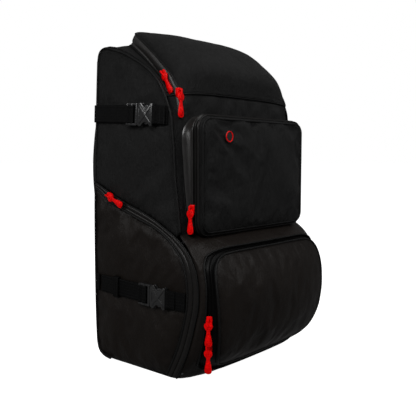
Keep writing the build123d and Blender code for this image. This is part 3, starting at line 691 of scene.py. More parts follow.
for side, sign in SIDES:
    pocket = f"side_flap_{side}_body"
    facing = (sign, 0, 0)
    mirrored = sign < 0
    panel(f"upper_side_cloth_{side}", side_outline, on_side(sign, HALF - 1.5), PACK, WOVEN, puff=3.4,
        reach=18,
          rough=0.9, seed=3.1 + sign, folds=strip_folds, slack=0.012, pressure=0.6, cap=3.5,
          hold=under_upper_strap, flip=mirrored,
          replaced=(f"upper_side_{side}",))
    cloth = panel(f"side_pocket_cloth_{side}", flap_outline, on_side(sign, HALF - 1.5), None, COATED,
        puff=5.0, reach=24,
            rough=0.8, seed=9.3 + sign, folds=pocket_folds, slack=0.01, pressure=0.8, cap=3.5,
            hold=under_lower_strap, flip=mirrored,
            replaced=(f"side_flap_{side}",))
    CROSSING.append((cloth, PACK, pocket, (sign * HALF * MM, (HINGE_Y + 6) * MM, 0.15),
        (sign * HALF * MM, (HINGE_Y - 12) * MM, 0.15)))
    outer, inner = at_x(zip_outer, sign * (HALF - 1)), at_x(zip_inner, sign * (HALF - 1))
    middle = (outer + inner) / 2
    band(f"side_zip_tape_{side}", outer, middle, facing, [(0, 0.2), (0.15, 1.6), (0.5, 2.1), (0.85, 1.9),
        (1, 0.6), (1, -1)],
         PACK, ZIP, flip=not mirrored, replaced=(f"side_zip_band_{side}",))
    band(f"side_pocket_zip_tape_{side}", middle, inner, facing,
        [(0, -1), (0.03, 0.6), (0.15, 1.9), (0.5, 2.1), (0.85, 1.6), (1, 0.2)],
         pocket, ZIP, flip=not mirrored)
    tube(f"side_zip_piping_{side}", outer + np.array(facing) * 1.4, 1.5, PACK, PIPING)
    tube(f"side_pocket_piping_{side}", inner + np.array(facing) * 0.9, 2.0, pocket, PIPING)
    edge = at_x(spline(SIDE_EDGE, 130), sign * (HALF - 1.2))
    tube(f"side_edge_piping_{side}", edge, 1.9, PACK, PIPING)
    tube(f"back_edge_piping_{side}", at_x(spline(BACK, 120), sign * (HALF - 1.2)), 2.2, PACK, PIPING)
    centre = np.array([20, 330])
    inset = spline(SIDE_EDGE, 130)
    inset = inset + unit(centre - inset) * 6.5
    stitches(f"side_edge_stitching_{side}", at_x(inset, sign * (HALF + 0.7)), facing, PACK, THREAD)
    stitches(f"side_pocket_stitching_{side}", at_x(zip_inner + np.array([4.5, -4.5]),
        sign * (HALF + 1.0))[4:-3], facing, pocket, THREAD)

# ------------------------------------------------------------------ crown, front and back of the main shell
def crown_point(share, x):
    """Point of the crown: share runs from the back edge to the front, x across."""
    low, high = spline(SIDE_EDGE[:12], 200), spline(CROWN, 200)
    at = np.clip(share * 199, 0, 199).astype(int)
    rise = 1 - np.clip((np.abs(x) - 120) / (HALF - 121), 0, 1) ** 1.7
    flat = low[at] + (high[at] - low[at]) * rise[:, None]
    return np.column_stack([x, flat])


MOUTH_HALF, MOUTH_Y = 112, (-46, 32)
CROWN_ROWS, CROWN_COLUMNS = 64, 81
shares, spread = np.linspace(0, 1, CROWN_ROWS), np.linspace(-1, 1, CROWN_COLUMNS)
grid_share, grid_x = [a.ravel() for a in np.meshgrid(shares, spread * (HALF - 1.4), indexing="ij")]
crown_verts = crown_point(grid_share, grid_x)
crown_faces = []
for face in grid_faces(CROWN_ROWS, CROWN_COLUMNS):
    y, x = crown_verts[list(face), 1].mean(), abs(crown_verts[list(face), 0].mean())
    if not (x < MOUTH_HALF and MOUTH_Y[0] < y < MOUTH_Y[1]):
        crown_faces.append(face)
# The last values mark the crown's side seams, where its cloth gets painted shade.
crown = finish_mesh("crown_cloth", crown_verts, crown_faces, WOVEN, PACK,
    np.column_stack([grid_x, grid_share * 215]),
        np.exp(-(HALF - np.abs(grid_x)) / 6), ("crown_panel",))
repair_normals(crown)
thicken(crown, CLOTH_THICK)
for side, sign in SIDES:
    rim = crown_point(np.linspace(0, 0.97, 110), np.full(110, sign * (HALF - 8.0)))
    tube(f"crown_piping_{side}", rim + (0, -0.3, 0.8), 1.5, PACK, PIPING)


def front_place(u, v, h):
    """The front panel, which turns back to meet the side seams near its top corners."""
    middle = lookup([(z, y) for y, z in FRONT[::-1]], v)
    side_y = lookup([(z, y) for y, z in SIDE_EDGE[8:][::-1]], np.clip(v, 246, 484))
    turn = np.clip((np.abs(u) - (HALF - 26)) / 24, 0, 1) ** 2.4
    return np.stack([u, middle + (side_y - middle) * turn - h, v], 1)


def puckers(u, v, d):
    """Gathers above the pocket."""
    gather = 2.3 * np.sin(u / 7.5 + 1.3 * np.sin(u / 31)) * np.exp(-((v - 446) / 13) ** 2)
    return gather * np.clip(d / 8, 0, 1)


wide = HALF - 3
front_top = [(x, 467 - 7 * (abs(x) / wide) ** 4) for x in np.linspace(wide, -wide, 31)]
front_outline = even([(-wide, 236), (wide, 236), *front_top], 5, closed=True)
panel("front_cloth", front_outline, front_place, PACK, WOVEN, puff=3.0, reach=14, rough=0.6, seed=5.2,
    folds=puckers,
      replaced=("front_panel",))
seam_flat = np.array([(x, 466.5 - 7 * (abs(x) / wide) ** 4) for x in np.linspace(-wide, wide, 60)])
seam_line = front_place(seam_flat[:, 0], seam_flat[:, 1], np.full(60, 1.2))
tube("hood_seam", seam_line, 1.3, PACK, PIPING)

back_table = [(z, y) for y, z in BACK]


def back_place(u, v, h):
    return np.stack([u, lookup(back_table, v) + h, v], 1)


back_outline = even([(-wide, 14), (wide, 14), (wide, 527), (-wide, 527)], 6, closed=True)
panel("back_cloth", back_outline, back_place, PACK, WOVEN, puff=1.6, reach=16, rough=0.4, seed=2.7, flip=True,
      step=8, replaced=("back_panel",))

# ------------------------------------------------------------------ upper front pocket
POCKET_Z = (FLAP_LOW[2] + FLAP_HIGH[2]) / 2
POCKET_W, POCKET_H = FLAP_HIGH[0] - FLAP_LOW[0], FLAP_HIGH[2] - FLAP_LOW[2]
POCKET_R = 22.0
BADGE_X, BADGE_Z, BADGE_RING = -84, 396, 8.2
base_flat = even(rounded(POCKET_W, POCKET_H, POCKET_R, (0, POCKET_Z), 24), 2, closed=True)
BASE_TURN = np.unwrap(np.arctan2(base_flat[:, 1] - POCKET_Z, base_flat[:, 0]))


def pocket_ring(y, grow=0.0, count=200, radius=POCKET_R):
    """Closed line round the upper pocket at one depth, and its outward directions."""
    flat = rounded(POCKET_W + 2 * grow, POCKET_H + 2 * grow, radius + grow, (0, POCKET_Z), 24)
    turn = np.unwrap(np.arctan2(flat[:, 1] - POCKET_Z, flat[:, 0]))
    flat = np.vstack([flat, flat[:1]])
    turn = np.append(turn, turn[0] + 2 * np.pi)
    want = np.interp(np.linspace(0, 1, count, endpoint=False), np.linspace(0, 1, len(BASE_TURN)), BASE_TURN)
    flat = np.stack([np.interp(want, turn, flat[:, k], period=2 * np.pi) for k in (0, 1)], 1)
    ring = np.column_stack([flat[:, 0], np.full(count, y), flat[:, 1]])
    way = np.roll(ring, -1, 0) - np.roll(ring, 1, 0)
    return ring, unit(np.cross(way, (0, 1, 0)))


root, outwards = pocket_ring(-70, 3.0, radius=38)
rim, _ = pocket_ring(ZIP_GAP[1][1], 0.0, radius=28)
root[:, 1] = lookup([(z, y) for y, z in FRONT[::-1]], np.clip(root[:, 2], 236, 468)) + 1
repair_normals(band("upper_gusset_tape", root, rim, outwards, [(0, 0.0), (0.1, 2.2), (0.3, 4.2), (0.55, 4.8),
    (0.8, 3.8), (1, 1.4), (1, -3)],
        PACK, SATIN, closed=True, replaced=("upper_gusset",)))
tube("upper_gusset_piping", root + outwards * 1.0 + (0, -1.5, 0), 1.7, PACK, PIPING, closed=True)
shelf_ring, _ = pocket_ring(ZIP_GAP[1][1] - 0.2, -1.2)
inner_ring, _ = pocket_ring(ZIP_GAP[0][1] + 0.5, -1.2)
repair_normals(band("upper_zip_coil", shelf_ring, inner_ring, outwards,
    [(0, -1.5), (0.45, 0.0), (0.5, 0.8), (0.55, 0.0), (1, -1.5)],
        PACK, COIL, closed=True, replaced=("upper_zip_tape",)))
skirt_back, _ = pocket_ring(ZIP_GAP[0][1] - 0.6, 0.0)
skirt_groove, _ = pocket_ring(ZIP_GAP[0][1] - 5.0, -0.4)
skirt_front, _ = pocket_ring(FLAP_FACE + 1.0, -4.5)
repair_normals(band("upper_pocket_gusset", skirt_back, skirt_groove, outwards,
    [(0, -3), (0, 0.6), (0.3, 1.7), (0.7, 1.6), (1, -0.6), (1.1, -2)],
        "upper_pocket_flap", ZIP, closed=True, replaced=("upper_flap_skirt",)))
repair_normals(band("upper_pocket_border", skirt_groove, skirt_front, outwards,
    [(0.05, -2), (0.15, 0.2), (0.4, 1.6), (0.75, 1.8), (1, 0.2)],
        "upper_pocket_flap", WOVEN, closed=True))
tube("upper_pocket_groove_piping", skirt_groove + (0, -0.4, 0), 0.9, "upper_pocket_flap", PIPING, closed=True)
tube("upper_pocket_piping", skirt_front + (0, 0.3, 0) + outwards * 0.2, 1.6, "upper_pocket_flap", PIPING,
    closed=True)


def pocket_face(u, v, h):
    return np.stack([u, FLAP_FACE + 1.2 - h, v], 1)


def under_badge(u, v):
    return np.hypot(u - BADGE_X, v - BADGE_Z) < 17


def pocket_creases(u, v, d):
    """Puckers under the top seam and long soft creases across the panel."""
    top = 2.2 * np.sin(u / 10.5 + 0.9 * np.sin(u / 37)) * np.exp(-((FLAP_HIGH[2] - v) / 34) ** 2)
    sweep = 2.2 * np.sin((u + 0.8 * v) / 24) * np.exp(-(((u - 70) / 60) ** 2 + ((v - 330) / 60) ** 2))
    fan = 1.6 * np.sin(np.arctan2(FLAP_HIGH[2] - v, u + POCKET_W / 2) * 17) * np.exp(-((u + 90) ** 2
        + (v - 375) ** 2) / 70 ** 2)
    return (top + sweep + fan) * np.clip(d / 9, 0, 1)


flat_ring = pocket_ring(0, -4.0)[0][:, [0, 2]]
panel("upper_pocket_cloth", even(flat_ring, 4, closed=True), pocket_face, "upper_pocket_flap", WOVEN,
    step=4.5, puff=5.5,
      reach=26, rough=0.7, seed=1.7, folds=pocket_creases, slack=0.015, pressure=0.8, cap=4, hold=under_badge,
      replaced=("upper_flap_panel",))
stitch_ring = pocket_ring(FLAP_FACE - 0.2, -8.5)[0]
stitches("upper_pocket_stitching", np.vstack([stitch_ring, stitch_ring[:1]]), (0, -1, 0), "upper_pocket_flap",
    THREAD)
badge_axes = axes((BADGE_X, FLAP_FACE - 4.4, BADGE_Z), (1, 0, 0), (0, -1, 0))
plates("plain_badge", [(rounded(20, 20, 9.9, steps=8), -2.5, 0.8, 0.5)], badge_axes, "upper_pocket_flap",
    ACETAL)
turns = np.linspace(0, 2 * np.pi, 48, endpoint=False)
tube("plain_badge_ring", np.column_stack([BADGE_X + BADGE_RING * np.cos(turns), np.full(48, FLAP_FACE - 5.2),
    BADGE_Z + BADGE_RING * np.sin(turns)]), 1.0,
     "upper_pocket_flap", RED, closed=True)

# ------------------------------------------------------------------ hood-shaped lid
HOOD = "top_lid"
SEAM_FOOT, SEAM_TOP = (0, -0.0775, 0.466), (0, -0.0745, 0.480)     # metres
HOOD_ROWS, HOOD_COLUMNS = 56, 81
HOOD_SIDE, HOOD_REAR = 70, 48       # points down a side of the hood and across its back


def hood_half(y):
    """Half width of the hood at a depth: it widens towards the front."""
    return 126 + np.clip((62 - np.asarray(y, float)) / 134, 0, 1.1) ** 0.9 * 25


def corner_tuck(share):
    """Narrowing and drop of the hood's sides as they run into its front corners."""
    return 1 - 0.045 * np.clip((share - 0.85) / 0.15, 0, 1) ** 2, 6.5 * np.clip((share - 0.8) / 0.2, 0, 1)


hood_rows = spline(HOOD_EDGE, HOOD_ROWS)
hood_up = unit(np.stack([-(np.gradient(hood_rows[:, 1])), np.gradient(hood_rows[:, 0])], 1)) * -1
shares = np.linspace(0, 1, HOOD_ROWS)
bulge = 29 * np.sin(np.pi * shares) ** 0.7 + 6 * (1 - shares) + 5 * np.exp(-((shares - 0.8) / 0.13) ** 2)
bulge *= 1 - 0.75 * np.clip((shares - 0.84) / 0.16, 0, 1) ** 2
turns = np.sin(np.linspace(-np.pi / 2, np.pi / 2, HOOD_COLUMNS))
crowning = (1 - np.abs(turns) ** 5) ** 0.55
rear_y, rear_z = hood_rows[0]
rear_fold = [(t * float(hood_half(rear_y)), rear_y + 1.5, rear_z - 7.0) for t in turns]
verts, flat = list(rear_fold), [(x, -8.0) for x, _, _ in rear_fold]
for (y, z), up, high, share in zip(hood_rows, hood_up, bulge, shares):
    narrow, drop = corner_tuck(share)
    for t, g in zip(turns, crowning):
        x = t * float(hood_half(y)) * narrow
        ripple = 0.7 * noise.noise(Vector((x / 45, share * 4.5, 3.3))) + 0.35 * noise.noise(Vector((x / 16,
            share * 11, 8.8)))
        verts.append((x, y + up[0] * (high * g + ripple), z + up[1] * (high * g + ripple) - drop * t ** 4))
        flat.append((x, share * 165))
# The last values mark the hood's side seams, where its cloth gets painted shade.
hood = finish_mesh("hood_cloth", verts, grid_faces(HOOD_ROWS + 1, HOOD_COLUMNS), WOVEN, None, flat,
        np.exp(-(1 - np.abs(np.tile(turns, HOOD_ROWS + 1))) * 30), ("lid_panel",))
repair_normals(hood)
thicken(hood, 3.0)
CROSSING.append((hood, PACK, HOOD, SEAM_FOOT, SEAM_TOP))


def hood_loop(curve, count):
    """Line up one side of the hood, across its back and down the other side."""
    side_line = spline(curve, count)[::-1]
    narrow, drop = corner_tuck(np.linspace(1, 0, count))
    left = np.column_stack([-hood_half(side_line[:, 0]) * narrow, side_line[:, 0], side_line[:, 1] - drop])
    y, z = side_line[-1]
    span = float(hood_half(y))
    rear = np.array([(x, y, z + 6.5 * (1 - (x / span) ** 4) ** 0.6) for x in np.linspace(-span, span,
        HOOD_REAR + 2)[1:-1]])
    return np.vstack([left, rear, left[::-1] * (-1, 1, 1)])


hood_top = hood_loop(HOOD_EDGE, HOOD_SIDE)
hood_foot = hood_loop(HOOD_FOOT, HOOD_SIDE)
hood_foot[HOOD_SIDE:HOOD_SIDE + HOOD_REAR, 2] = hood_foot[HOOD_SIDE - 1, 2]
hood_out = unit(np.vstack([np.tile((-1, 0.1, 0.1), (HOOD_SIDE, 1)), np.tile((0, 1, 0.3), (HOOD_REAR, 1)),
    np.tile((1, 0.1, 0.1), (HOOD_SIDE, 1))]))
repair_normals(band("hood_wall", hood_top, hood_foot, hood_out,
        [(0, 0.0), (0.1, 1.6), (0.35, 2.4), (0.62, 2.0), (0.72, 0.4), (0.78, 0.4), (0.85, 1.6), (1, 0.8)],
        HOOD, SATIN, replaced=("lid_skirt",)))
tube("hood_piping", hood_top + hood_out * 0.6, 1.9, HOOD, PIPING)
foot_line = hood_foot + hood_out * 1.8
tube("hood_zip_welt", foot_line, 1.7, PACK, PIPING)
repair_normals(band("hood_zip_tape_band", hood_foot + hood_out * 0.2 + (0, 0, 1.2),
    hood_foot + hood_out * 6.0 + (0, 0, -1.5), hood_out * 0.3 + (0, 0, 1),
        [(0, 0.0), (0.5, 0.8), (1, 0.0)], PACK, COIL, replaced=("hood_zip_tape",)))
front_edge = np.array(verts[-HOOD_COLUMNS:])
tube("hood_front_piping", front_edge + (0, 0.2, 0.2), 1.0, HOOD, PIPING)
stitch_row = np.array(verts[-3 * HOOD_COLUMNS:-2 * HOOD_COLUMNS][2:-2])
stitches("hood_front_stitching", stitch_row + (0, -0.3, 0.3), (0, -0.8, 0.5), HOOD, THREAD)

for side, sign in SIDES:
    corner = spline([(sign * 147, -53, 487), (sign * 149.5, -68, 468), (sign * 151.5, -75.5, 450),
        (sign * 152.5, -78, 432)], 24)
    strap(f"hood_corner_tape_{side}", corner, (sign * 0.75, -0.66, 0), 9, PACK, ZIP, thick=1.4)

# ------------------------------------------------------------------ lower section and its pocket
LOWER = "lower_pocket_flap"


def lower_depth(x, z):
    """Y of the rounded front of the lower section."""
    side = lookup(LOWER_SIDE, z)
    middle = lookup(LOWER_MIDDLE, z)
    return side + (middle - side) * (1 - np.clip(np.abs(x) / 152, 0, 1) ** 2.2)


def mirrored_loop(points):
    """Closed loop from its right half, given from the middle of the top round to the middle of the bottom."""
    right = np.array(points, float)
    left = right[1:-1][::-1].copy()
    left[:, 0] *= -1
    return np.vstack([right, left])


shell_loop = mirrored_loop([
    (0, -88, 243), (60, -88, 243), (128, -87, 243), (161, -86, 241), (163.8, -103, 222), (163.5, -115, 201),
    (163.5, -123, 182),
    (163.5, -127, 158), (163.5, -126, 128), (163.5, -119, 101), (163.5, -111, 74), (163, -100, 46),
    (160, -82, 12), (140, -82, 2.5),
    (100, -84, 1.0), (60, -85, 1.0), (0, -85, 1.0),
])
body_loop = mirrored_loop([
    (0, -120, 229), (60, -119, 229), (122, -116, 229), (153, -110, 225), (163.8, -114, 214), (164, -124, 199),
    (163.6, -130, 182),
    (163.2, -134, 158), (163.2, -133, 128), (162.5, -127, 101), (160.5, -119, 74), (157, -108, 46),
    (150, -92, 18), (130, -94, 7),
    (98, -97, 5), (60, -98, 5), (0, -98, 5),
])
channel_loop = mirrored_loop([
    (0, -139, 220), (60, -138, 220), (114, -135, 219), (145, -131, 212), (155, -132, 201), (159, -135, 191),
    (160, -138, 178),
    (161, -141, 158), (161, -140, 128), (159.5, -136, 101), (156.5, -129, 74), (151, -117, 46),
    (142, -105, 28), (122, -108, 18),
    (96, -110, 15), (60, -111, 14.5), (0, -111.5, 14.5),
])
edge_flat = spline(LOWER_EDGE, 120)
panel_ring = np.vstack([edge_flat, (edge_flat * (-1, 1))[::-1][1:-1]])
panel_ring = spline(panel_ring, 300, closed=True)


def lower_place(u, v, h):
    return np.stack([u, lower_depth(u, v) - h, v], 1)


count = 300
loops = [spline(loop, count, closed=True) for loop in (shell_loop, body_loop, channel_loop)]
top_index = np.argmin(np.abs(panel_ring[:, 0]) - panel_ring[:, 1] * 1e-3)
ordered = np.roll(panel_ring, -top_index, 0)
if ordered[10, 0] < 0:
    ordered = np.roll(ordered[::-1], 1, 0)
edge_ring = lower_place(ordered[:, 0], ordered[:, 1], np.zeros(count))


def nearest_order(reference, ring):
    """The ring resampled so that its points face the reference loop's by direction from the middle."""
    def heading(r):
        return np.unwrap(np.arctan2((r[:, 0]) / 160, (r[:, 2] - 115) / 115))
    a, b = heading(reference), heading(ring)
    b = b + 2 * np.pi * np.round((a.mean() - b.mean()) / (2 * np.pi))
    wrapped = np.concatenate([b - 2 * np.pi, b, b + 2 * np.pi])
    order = np.argsort(wrapped)
    return np.stack([np.interp(a, wrapped[order], np.tile(ring[:, k], 3)[order]) for k in range(3)], 1)


edge_ring = nearest_order(loops[2], edge_ring)
away = edge_ring - (0, -60, 115)
out_dir = unit(np.stack([away[:, 0] * 0.9, np.full(count, -75.0), away[:, 2] * 0.35], 1))
lift = out_dir * 4.0 * np.clip(loops[1][:, 2:] / 60 - 0.1, 0, 1)
rows = [loops[0]]
for share in (0.2, 0.4, 0.6, 0.8):
    rows.append(loops[0] + (loops[1] - loops[0]) * share + lift * math.sin(math.pi * share * 0.5))
rows.append(loops[1] + lift)
for share in (0.33, 0.66):
    rows.append(loops[1] + (loops[2] - loops[1]) * share + lift * (1 - share * 0.4))
rows.append(loops[2] + lift * 0.5)
rows.append(loops[2] + (edge_ring - loops[2]) * 0.08 - out_dir * 1.5)
rows = [r + out_dir * 0.6 * wobble(r[:, [0, 2]], 40, k * 0.2 + 4)[:, None] for k, r in enumerate(rows)]
ring_verts = np.stack(rows, 1).reshape(-1, 3)
ring_uv = np.array([(i * 3.2, j * 7.0) for i in range(count) for j in range(len(rows))])
shell = finish_mesh("lower_shell_cloth", ring_verts, grid_faces(count, len(rows), closed_rows=True), COATED,
    PACK, ring_uv,
        None, ("lower_frame", "toe_panel"))
repair_normals(shell)
thicken(shell, CLOTH_THICK)
smoother = shell.modifiers.new("smooth", "SUBSURF")
smoother.levels = smoother.render_levels = 1
groove = [loops[2] + (edge_ring - loops[2]) * share - out_dir * deep for share, deep in
        ((0.0, 2.0), (0.15, 4.0), (0.45, 3.0), (0.5, 1.8), (0.55, 3.0), (0.9, 5.0), (1.05, 6.0))]
channel = finish_mesh("lower_zip_channel", np.stack(groove, 1).reshape(-1, 3),
    grid_faces(count, len(groove), closed_rows=True),
        COIL, PACK, np.array([(i * 3.0,
        j * 3.0) for i in range(count) for j in range(len(groove))]), None,
        ("lower_zip_tape",))
repair_normals(channel)
thicken(channel, 1.2)
tube("lower_channel_piping", loops[2] + out_dir * 2.2, 1.5, PACK, PIPING, closed=True)


def lower_creases(u, v, d):
    drag = 0.9 * np.sin((v + 0.25 * u) / 17) * np.exp(-(((u + 95) / 50) ** 2 + ((v - 70) / 40) ** 2))
    top = 0.6 * np.sin(u / 15) * np.exp(-((209 - v) / 22) ** 2)
    return (drag + top) * np.clip(d / 12, 0, 1)


flat_edge = even(edge_ring[:, [0, 2]], 5, closed=True)
panel("lower_pocket_cloth", flat_edge, lower_place, LOWER, COATED, step=5, puff=3.6, reach=20, rough=0.8,
    seed=6.4,
      folds=lower_creases, slack=0.005, pressure=0.6, cap=3, replaced=("lower_flap_panel",))
tube("lower_pocket_piping", edge_ring + (0, 0.2, 0), 1.9, LOWER, PIPING, closed=True)
repair_normals(band("lower_pocket_lip", edge_ring + (0, 0.5, 0),
    edge_ring + (0, 8.5, 0) - unit(edge_ring * (1, 0, 0) + 1e-6) * 1.0, out_dir,
        [(0, 0), (0.4, 0.8), (1, -1)], LOWER, COIL, closed=True))

# ------------------------------------------------------------------ straps and side-release buckles
def strap_axes(sign, joint):
    y, z, rise = joint
    return axes((sign * HALF, y, z), (0, 1, rise), (sign, 0, 0))


def on_strap(frame_axes, points):
    origin, turn = frame_axes
    return origin + np.asarray(points, float) @ turn


notch = [(-10 - 9 * (1 - math.cos(a)), 19 - 7.0 * math.sin(a)) for a in np.linspace(0, math.pi, 9)]
socket_half = [(0, 15), (-1.5, 17.5), (-4, 19), (-8, 19), *notch[1:-1], (-30, 19), (-33, 17), (-34, 14)]
SOCKET = socket_half + [(x, -y) for x, y in reversed(socket_half)]
CROSS = [[(-3, 13.5), (-6, 15), (-31, -11.5), (-31, -14.5), (-28, -14.5), (-3, 10.5)],
        [(-3, -13.5), (-6, -15), (-31, 11.5), (-31, 14.5), (-28, 14.5), (-3, -10.5)]]
PRONG = [(0, 8.5), (-8, 9), (-13, 13.5), (-19, 15.8), (-24, 14.2), (-26, 11), (-24.5, 9.4), (-20, 11.5),
    (-14, 8.8), (-9, 5.5), (0, 5.5)]


def buckle(name, where, socket_body, plug_body, socket_node, plug_node):
    middle = 6.5
    socket = [(SOCKET, 2.2, 5.3, 0.9), (SOCKET, 7.6, 10.8, 1.2)]
    socket += [(bar, 10.4, 11.6, 0.5) for bar in CROSS]
    socket += [(rounded(5, 36, 1.4, (-31.3, 0)), 2.4, 10.4, 0.8),
        (rounded(5, 24, 1.2, (-2.8, 0)), 9.8, 11.4, 0.6),
            (rounded(9, 9, 4.4, (-17, 0)), 10.4, 12.0, 0.6)]
    plates(f"{name}_socket", socket, where, socket_body, ACETAL, socket_node)
    plug = [(rounded(4.6, 36, 1.6, (x, 0)), middle - 3.5, middle + 4.2, 1.1) for x in (3.2, 14.5, 25.2)]
    plug += [(rounded(25, 3.6, 1.4, (14, way * 16.4)), middle - 3.6, middle + 3.6, 1.0) for way in (-1, 1)]
    plug += [([(x, y * way) for x, y in PRONG][::way], middle - 1.8, middle + 1.8, 0.7) for way in (-1, 1)]
    plates(f"{name}_plug", plug, where, plug_body, ACETAL, plug_node)


def webbing(name, points, count, body, width=STRAP_WIDTH, thick=2.0, replaced=()):
    """Webbing through points given in the frame of the buckle being made."""
    strap(name, on_strap(where, spline(points, count)), out, width, body, WEBBING, thick, replaced)


for side, sign in SIDES:
    out = (sign, 0, 0)
    pocket = f"side_flap_{side}_body"
    where = strap_axes(sign, UPPER_JOINT)
    buckle(f"upper_buckle_{side}", where, PACK, f"upper_plug_{side}", ("upper_buckle_sockets",),
        (f"upper_buckle_plug_{side}",))
    rear = [(29, 0, 5.6), (34, 0, 3.2), (42, 0, 2.4), (70, 0, 2.9), (100, 0, 2.4), (116, 0, 1.6),
        (121, 0, -1.5), (122.5, 0, -8)]
    webbing(f"upper_rear_strap_{side}", rear, 50, PACK, replaced=("rear_upper_strap",))
    loop = [(8.8, 0, 10.2), (16, 0, 11.2), (21.5, 0, 9.2), (26, 0, 11.2), (31, 0, 6.0), (44, 0, 4.4),
        (58, 0, 4.2)]
    webbing(f"upper_strap_turn_{side}", loop, 40, f"upper_plug_{side}", STRAP_WIDTH - 1, 1.6)
    front = [(-30, 0, 3.4), (-36, 0, 3.0), (-44, 0, 2.6), (-55, 0, 1.6), (-60, 0, 0.2)]
    webbing(f"upper_front_strap_{side}", front, 26, PACK, replaced=("front_upper_strap",))
    fold = [(-34.5, 0, 10.5), (-38, 0, 9.0), (-42, 0, 5.6), (-50, 0, 4.6), (-57, 0, 3.8)]
    webbing(f"upper_front_fold_{side}", fold, 24, PACK, STRAP_WIDTH - 1, 1.8)
    for row in (-47, -56):
        bar = on_strap(where, [(row, y, 5.6 if row > -50 else 4.9) for y in np.linspace(-13, 13, 20)])
        stitches(f"upper_bar_tack_{side}_{abs(row)}", bar, out, PACK, THREAD, pitch=1.7, length=1.5,
            radius=0.4)

    where = strap_axes(sign, LOWER_JOINT)
    buckle(f"lower_buckle_{side}", where, pocket, f"lower_plug_{side}", (f"lower_buckle_socket_{side}",),
        (f"lower_buckle_plug_{side}",))
    rear = [(29, 0, 5.6), (34, 0, 3.0), (44, 0, 2.6), (80, 0, 4.2), (110, 0, 3.2), (131, 0, 2.2)]
    webbing(f"lower_rear_strap_{side}", rear, 50, pocket, replaced=(f"lower_strap_{side}",))
    keeper = [(88, -17.5, 2.0), (88, -17, 6.0), (88, -15, 7.4), (88, 0, 7.8), (88, 15, 7.4), (88, 17, 6.0),
        (88, 17.5, 2.0)]
    path = on_strap(where, spline(keeper, 40))
    strap(f"lower_strap_keeper_{side}", path, unit(path - on_strap(where, [(88, 0, -12)])), 14, pocket,
        WEBBING, 1.8)
    strap(f"lower_strap_end_{side}", on_strap(where, spline([(137, 0, 2.2), (144, 0, 2.0), (149, 0, 0.5),
        (151, 0, -6)], 14)), out,
          STRAP_WIDTH, PACK, WEBBING, 2.0, ("lower_strap_anchors",))
    loop = [(8.8, 0, 10.2), (16, 0, 11.2), (21.5, 0, 9.2), (26, 0, 11.2), (31, 0, 6.4), (46, 0, 5.4),
        (66, 0, 5.8)]
    webbing(f"lower_strap_turn_{side}", loop, 40, f"lower_plug_{side}", STRAP_WIDTH - 1, 1.6)
    front = [(-30, 0, 4.2), (-36, 0, 4.6), (-50, 0, 4.6), (-62, 0, 3.0), (-70, 0, 1.2)]
    webbing(f"lower_front_strap_{side}", front, 30, pocket)
    fold = [(-34.5, 0, 10.5), (-38, 0, 9.0), (-42, 0, 6.8), (-48, 0, 6.4), (-52, 0, 6.0)]
    webbing(f"lower_front_fold_{side}", fold, 24, pocket, STRAP_WIDTH - 1, 1.8)

# ------------------------------------------------------------------ zip sliders and pulls
ZIPS = {
    "hood_top": ((-142.6, -40, 497), (-0.12, -0.76, -0.64), (-1, 0.1, 0)),
    "hood_front": ((-151.5, -71.4, 464), (0, 0, -1), (0, -1, 0)),
    "upper_pocket": ((-146.4, -101, 281), (0, 0, -1), (-1, 0, 0)),
    "lower_upper": ((-156, -142.4, 112), (0, 0, -1), (-1, -0.5, 0)),
    "lower_foot": ((-149, -136, 66), (0, 0, -1), (-1, -0.5, 0)),
    "side_left": ((-HALF, 74, 296), (0, -0.92, -0.39), (-1, 0, 0)),
    "side_right": ((HALF, 74, 296), (0, -0.92, -0.39), (1, 0, 0)),
}
PIN_X, PIN_Z = 3.0, 8.0
slider_half = [(-7.5, 3.2), (-6, 4.6), (-2, 5.2), (3, 5.0), (6.5, 3.4), (7.5, 1.2)]
SLIDER = slider_half + [(x, -y) for x, y in reversed(slider_half)]
arc = [(PIN_X + 3.8 - 6.8 * math.cos(a), 6.8 * math.sin(a)) for a in np.linspace(0.25, 2.35, 11)]
pull_half = arc + [(13.5, 3.1), (17, 2.9), (21, 3.6), (27, 5.0), (33, 5.9), (36.5, 5.4), (38.5, 3.6),
    (39.2, 1.2)]
PULL = pull_half + [(x, -y) for x, y in reversed(pull_half)]
rib_half = [(21.5, 1.6), (27, 3.0), (32.5, 3.8), (35, 3.2), (36, 1.2)]
RIB = rib_half + [(x, -y) for x, y in reversed(rib_half)]
LEAN = {"hood_top": 20}     # degrees that a pull droops away from its zip


def drooped(where, angle):
    """The pull's frame turned about the slider's pin."""
    origin, turn = where
    a = math.radians(angle)
    pin = origin + PIN_X * turn[0] + PIN_Z * turn[2]
    x = math.cos(a) * turn[0] - math.sin(a) * turn[1]
    y = math.sin(a) * turn[0] + math.cos(a) * turn[1]
    return pin - PIN_X * x - PIN_Z * turn[2], np.stack([x, y, turn[2]])


for label, (place, hang, outward) in ZIPS.items():
    where = axes(place, hang, outward)
    plates(f"zip_slider_{label}", [
        (SLIDER, 0.9, 2.3, 0.5), (SLIDER, 3.6, 5.2, 0.6), (rounded(4, 3.2, 1, (-5.2, 0)), 2.0, 4.0, 0.2),
        (rounded(3.6, 2.8, 0.9, (-4.6, 0)), 4.8, 10.2, 0.6), (rounded(13.5, 2.8, 1.2, (0.6, 0)), 9.4, 11.0,
            0.6),
        (rounded(3.0, 2.8, 0.9, (6.0, 0)), 6.9, 10.2, 0.5),
    ], where, f"zip_{label}", RED, (f"slider_{label}",))
    plates(f"zip_pull_{label}", [
        (PULL, PIN_Z - 1.3, PIN_Z + 1.1, 0.8), (RIB, PIN_Z + 0.9, PIN_Z + 1.8, 0.4),
        (rounded(9, 9, 4.4, (PIN_X + 4, 0)), PIN_Z + 0.9, PIN_Z + 1.9, 0.5),
    ], drooped(where, LEAN.get(label, 0)), f"tab_{label}", RED, (f"pull_{label}",))

